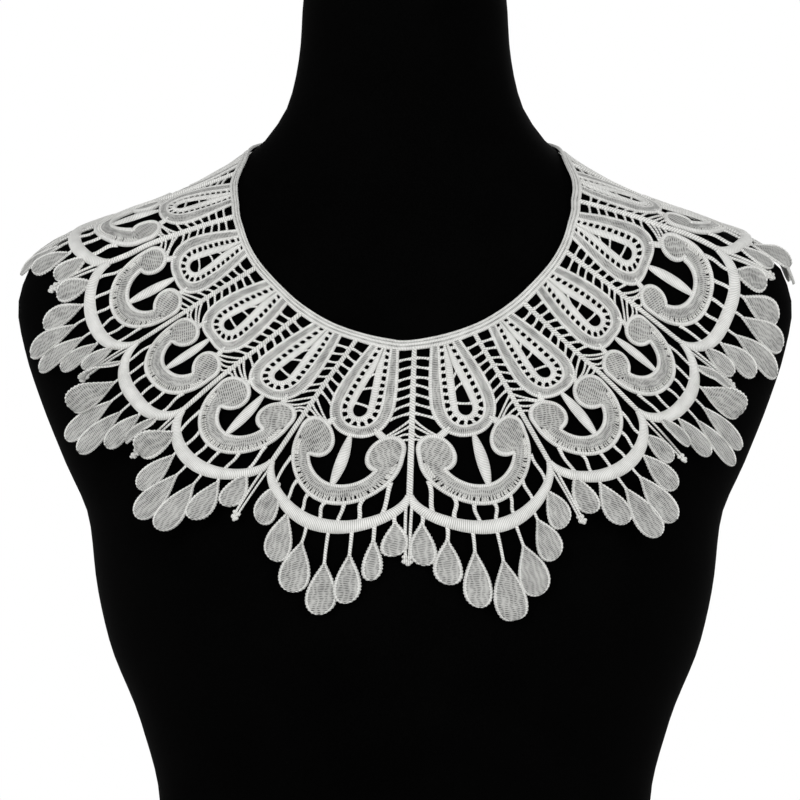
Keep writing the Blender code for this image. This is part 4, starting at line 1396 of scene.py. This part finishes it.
class COLLAR_OT_join_lace(bpy.types.Operator):
    """Join the lace into its two halves, each one sheet"""

    bl_idname = "collar.join_lace"
    bl_label = "Join Lace"

    def execute(self, context):
        for name, parts in PARTS.items():
            deselect()
            for part, _ in parts:
                part.select_set(True)
            half = parts[0][0]
            context.view_layer.objects.active = half
            bpy.ops.object.join()
            half.name = "lace_" + name
            half.data.name = half.name
            bpy.ops.object.mode_set(mode="EDIT")
            bpy.ops.mesh.select_all(action="SELECT")
            bpy.ops.mesh.remove_doubles(threshold=1e-7)
            bpy.ops.object.mode_set(mode="OBJECT")
            bpy.ops.object.shade_smooth_by_angle(angle=math.radians(70))
            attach(half, "root")
            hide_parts("lace_collar_" + name)
            # Half of a ring sector, neck radius 111 mm and outer radius 257 mm when laid flat
            sum(area for _, area in parts) * MM * MM
        return {"FINISHED"}


class COLLAR_OT_stage(bpy.types.Operator):
    """Add the floor, the lights and the camera"""

    bl_idname = "collar.stage"
    bl_label = "Stage"

    def execute(self, context):
        stage = context.scene.collar_stage
        deselect()
        bpy.ops.mesh.primitive_circle_add(vertices=96, radius=FLOOR_RADIUS, fill_type="NGON",
                                          location=(0, 0, 0))
        floor = context.object
        floor.name = "floor"
        # Painted studio floor: plain, pale and matt, with a faint unevenness
        material, tree, shader = start_material("matt floor paint", Roughness=0.9, Specular_IOR_Level=0.2)
        place = add_node(tree, "ShaderNodeTexCoord")
        cloud = add_node(tree, "ShaderNodeTexNoise", values={"Scale": 3.0},
                         links={"Vector": (place, "Object")})
        ramp = add_node(tree, "ShaderNodeValToRGB", links={"Fac": (cloud, "Fac")})
        ramp.color_ramp.elements[0].color = (*(value * 0.97 for value in stage.floor), 1)
        ramp.color_ramp.elements[1].color = (*stage.floor, 1)
        tree.links.new(ramp.outputs["Color"], shader.inputs["Base Color"])
        floor.data.materials.append(material)
        for lamp in LAMPS:
            bpy.ops.object.light_add(type="AREA", location=lamp.place)
            light = context.object
            light.name = lamp.name + "_light"
            light.data.size = lamp.size
            light.data.energy = getattr(stage, lamp.name + "_power")
            way = np.array([0, 0, stage.camera_height]) - np.array(lamp.place)
            pitch = math.atan2(float(np.hypot(way[0], way[1])), -float(way[2]))
            light.rotation_euler = (pitch, 0, math.atan2(-float(way[0]), float(way[1])))
        # White walls low down and a dimmer ceiling
        world = bpy.data.worlds.new("studio")
        world.use_nodes = True
        context.scene.world = world
        tree = world.node_tree
        tree.nodes.clear()
        place = add_node(tree, "ShaderNodeTexCoord")
        split = add_node(tree, "ShaderNodeSeparateXYZ", links={"Vector": (place, "Generated")})
        ramp = add_node(tree, "ShaderNodeValToRGB", links={"Fac": (split, "Z")})
        ramp.color_ramp.elements[0].position = 0.22
        ramp.color_ramp.elements[0].color = (1, 1, 1, 1)
        ramp.color_ramp.elements[1].position = 0.6
        ramp.color_ramp.elements[1].color = (0.3, 0.3, 0.3, 1)
        back = add_node(tree, "ShaderNodeBackground", values={"Strength": 1.0},
                        links={"Color": (ramp, "Color")})
        add_node(tree, "ShaderNodeOutputWorld", links={"Surface": (back, "Background")})
        deselect()
        bpy.ops.object.camera_add(location=(CAMERA_ACROSS, -stage.camera_distance, stage.camera_height),
                                  rotation=(math.pi / 2, 0, 0))
        camera = context.object
        camera.name = "front_camera"
        camera.data.sensor_width = SENSOR_WIDTH
        camera.data.lens = SENSOR_WIDTH * stage.camera_distance / stage.field
        camera.data.clip_end = 50.0
        context.scene.camera = camera
        context.scene.view_settings.view_transform = "Standard"
        return {"FINISHED"}


class COLLAR_PT_panel(bpy.types.Panel):
    """Lists the steps that make the collar"""

    bl_idname = "COLLAR_PT_panel"
    bl_label = "Lace Collar"
    bl_space_type = "VIEW_3D"
    bl_region_type = "UI"
    bl_category = "Lace Collar"

    def draw(self, context):
        scene = context.scene
        for group in (scene.collar_sizes, scene.collar_finish, scene.collar_stage):
            box = self.layout.box()
            for name in group.__annotations__:
                box.prop(group, name)
        for operator in OPERATORS:
            self.layout.operator(operator.bl_idname)


GROUPS = (CollarSizes, CollarFinish, CollarStage)
OPERATORS = (
    COLLAR_OT_form_cover,
    COLLAR_OT_neck_band,
    COLLAR_OT_loops,
    COLLAR_OT_scrolls,
    COLLAR_OT_arcs,
    COLLAR_OT_ribs,
    COLLAR_OT_join_lace,
    COLLAR_OT_stage,
)


def register():
    """Register the classes and put the settings on the scene."""
    for item in (*GROUPS, *OPERATORS, COLLAR_PT_panel):
        bpy.utils.register_class(item)
    bpy.types.Scene.collar_sizes = bpy.props.PointerProperty(type=CollarSizes)
    bpy.types.Scene.collar_finish = bpy.props.PointerProperty(type=CollarFinish)
    bpy.types.Scene.collar_stage = bpy.props.PointerProperty(type=CollarStage)


def unregister():
    """Take the settings and the classes away again."""
    del bpy.types.Scene.collar_sizes
    del bpy.types.Scene.collar_finish
    del bpy.types.Scene.collar_stage
    for item in reversed((*GROUPS, *OPERATORS, COLLAR_PT_panel)):
        bpy.utils.unregister_class(item)


def main():
    """Make every piece."""
    register()
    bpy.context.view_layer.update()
    bpy.ops.collar.form_cover()
    bpy.ops.collar.neck_band()
    bpy.ops.collar.loops()
    bpy.ops.collar.scrolls()
    bpy.ops.collar.arcs()
    bpy.ops.collar.ribs()
    bpy.ops.collar.join_lace()
    bpy.ops.collar.stage()


if __name__ == "__main__":
    main()
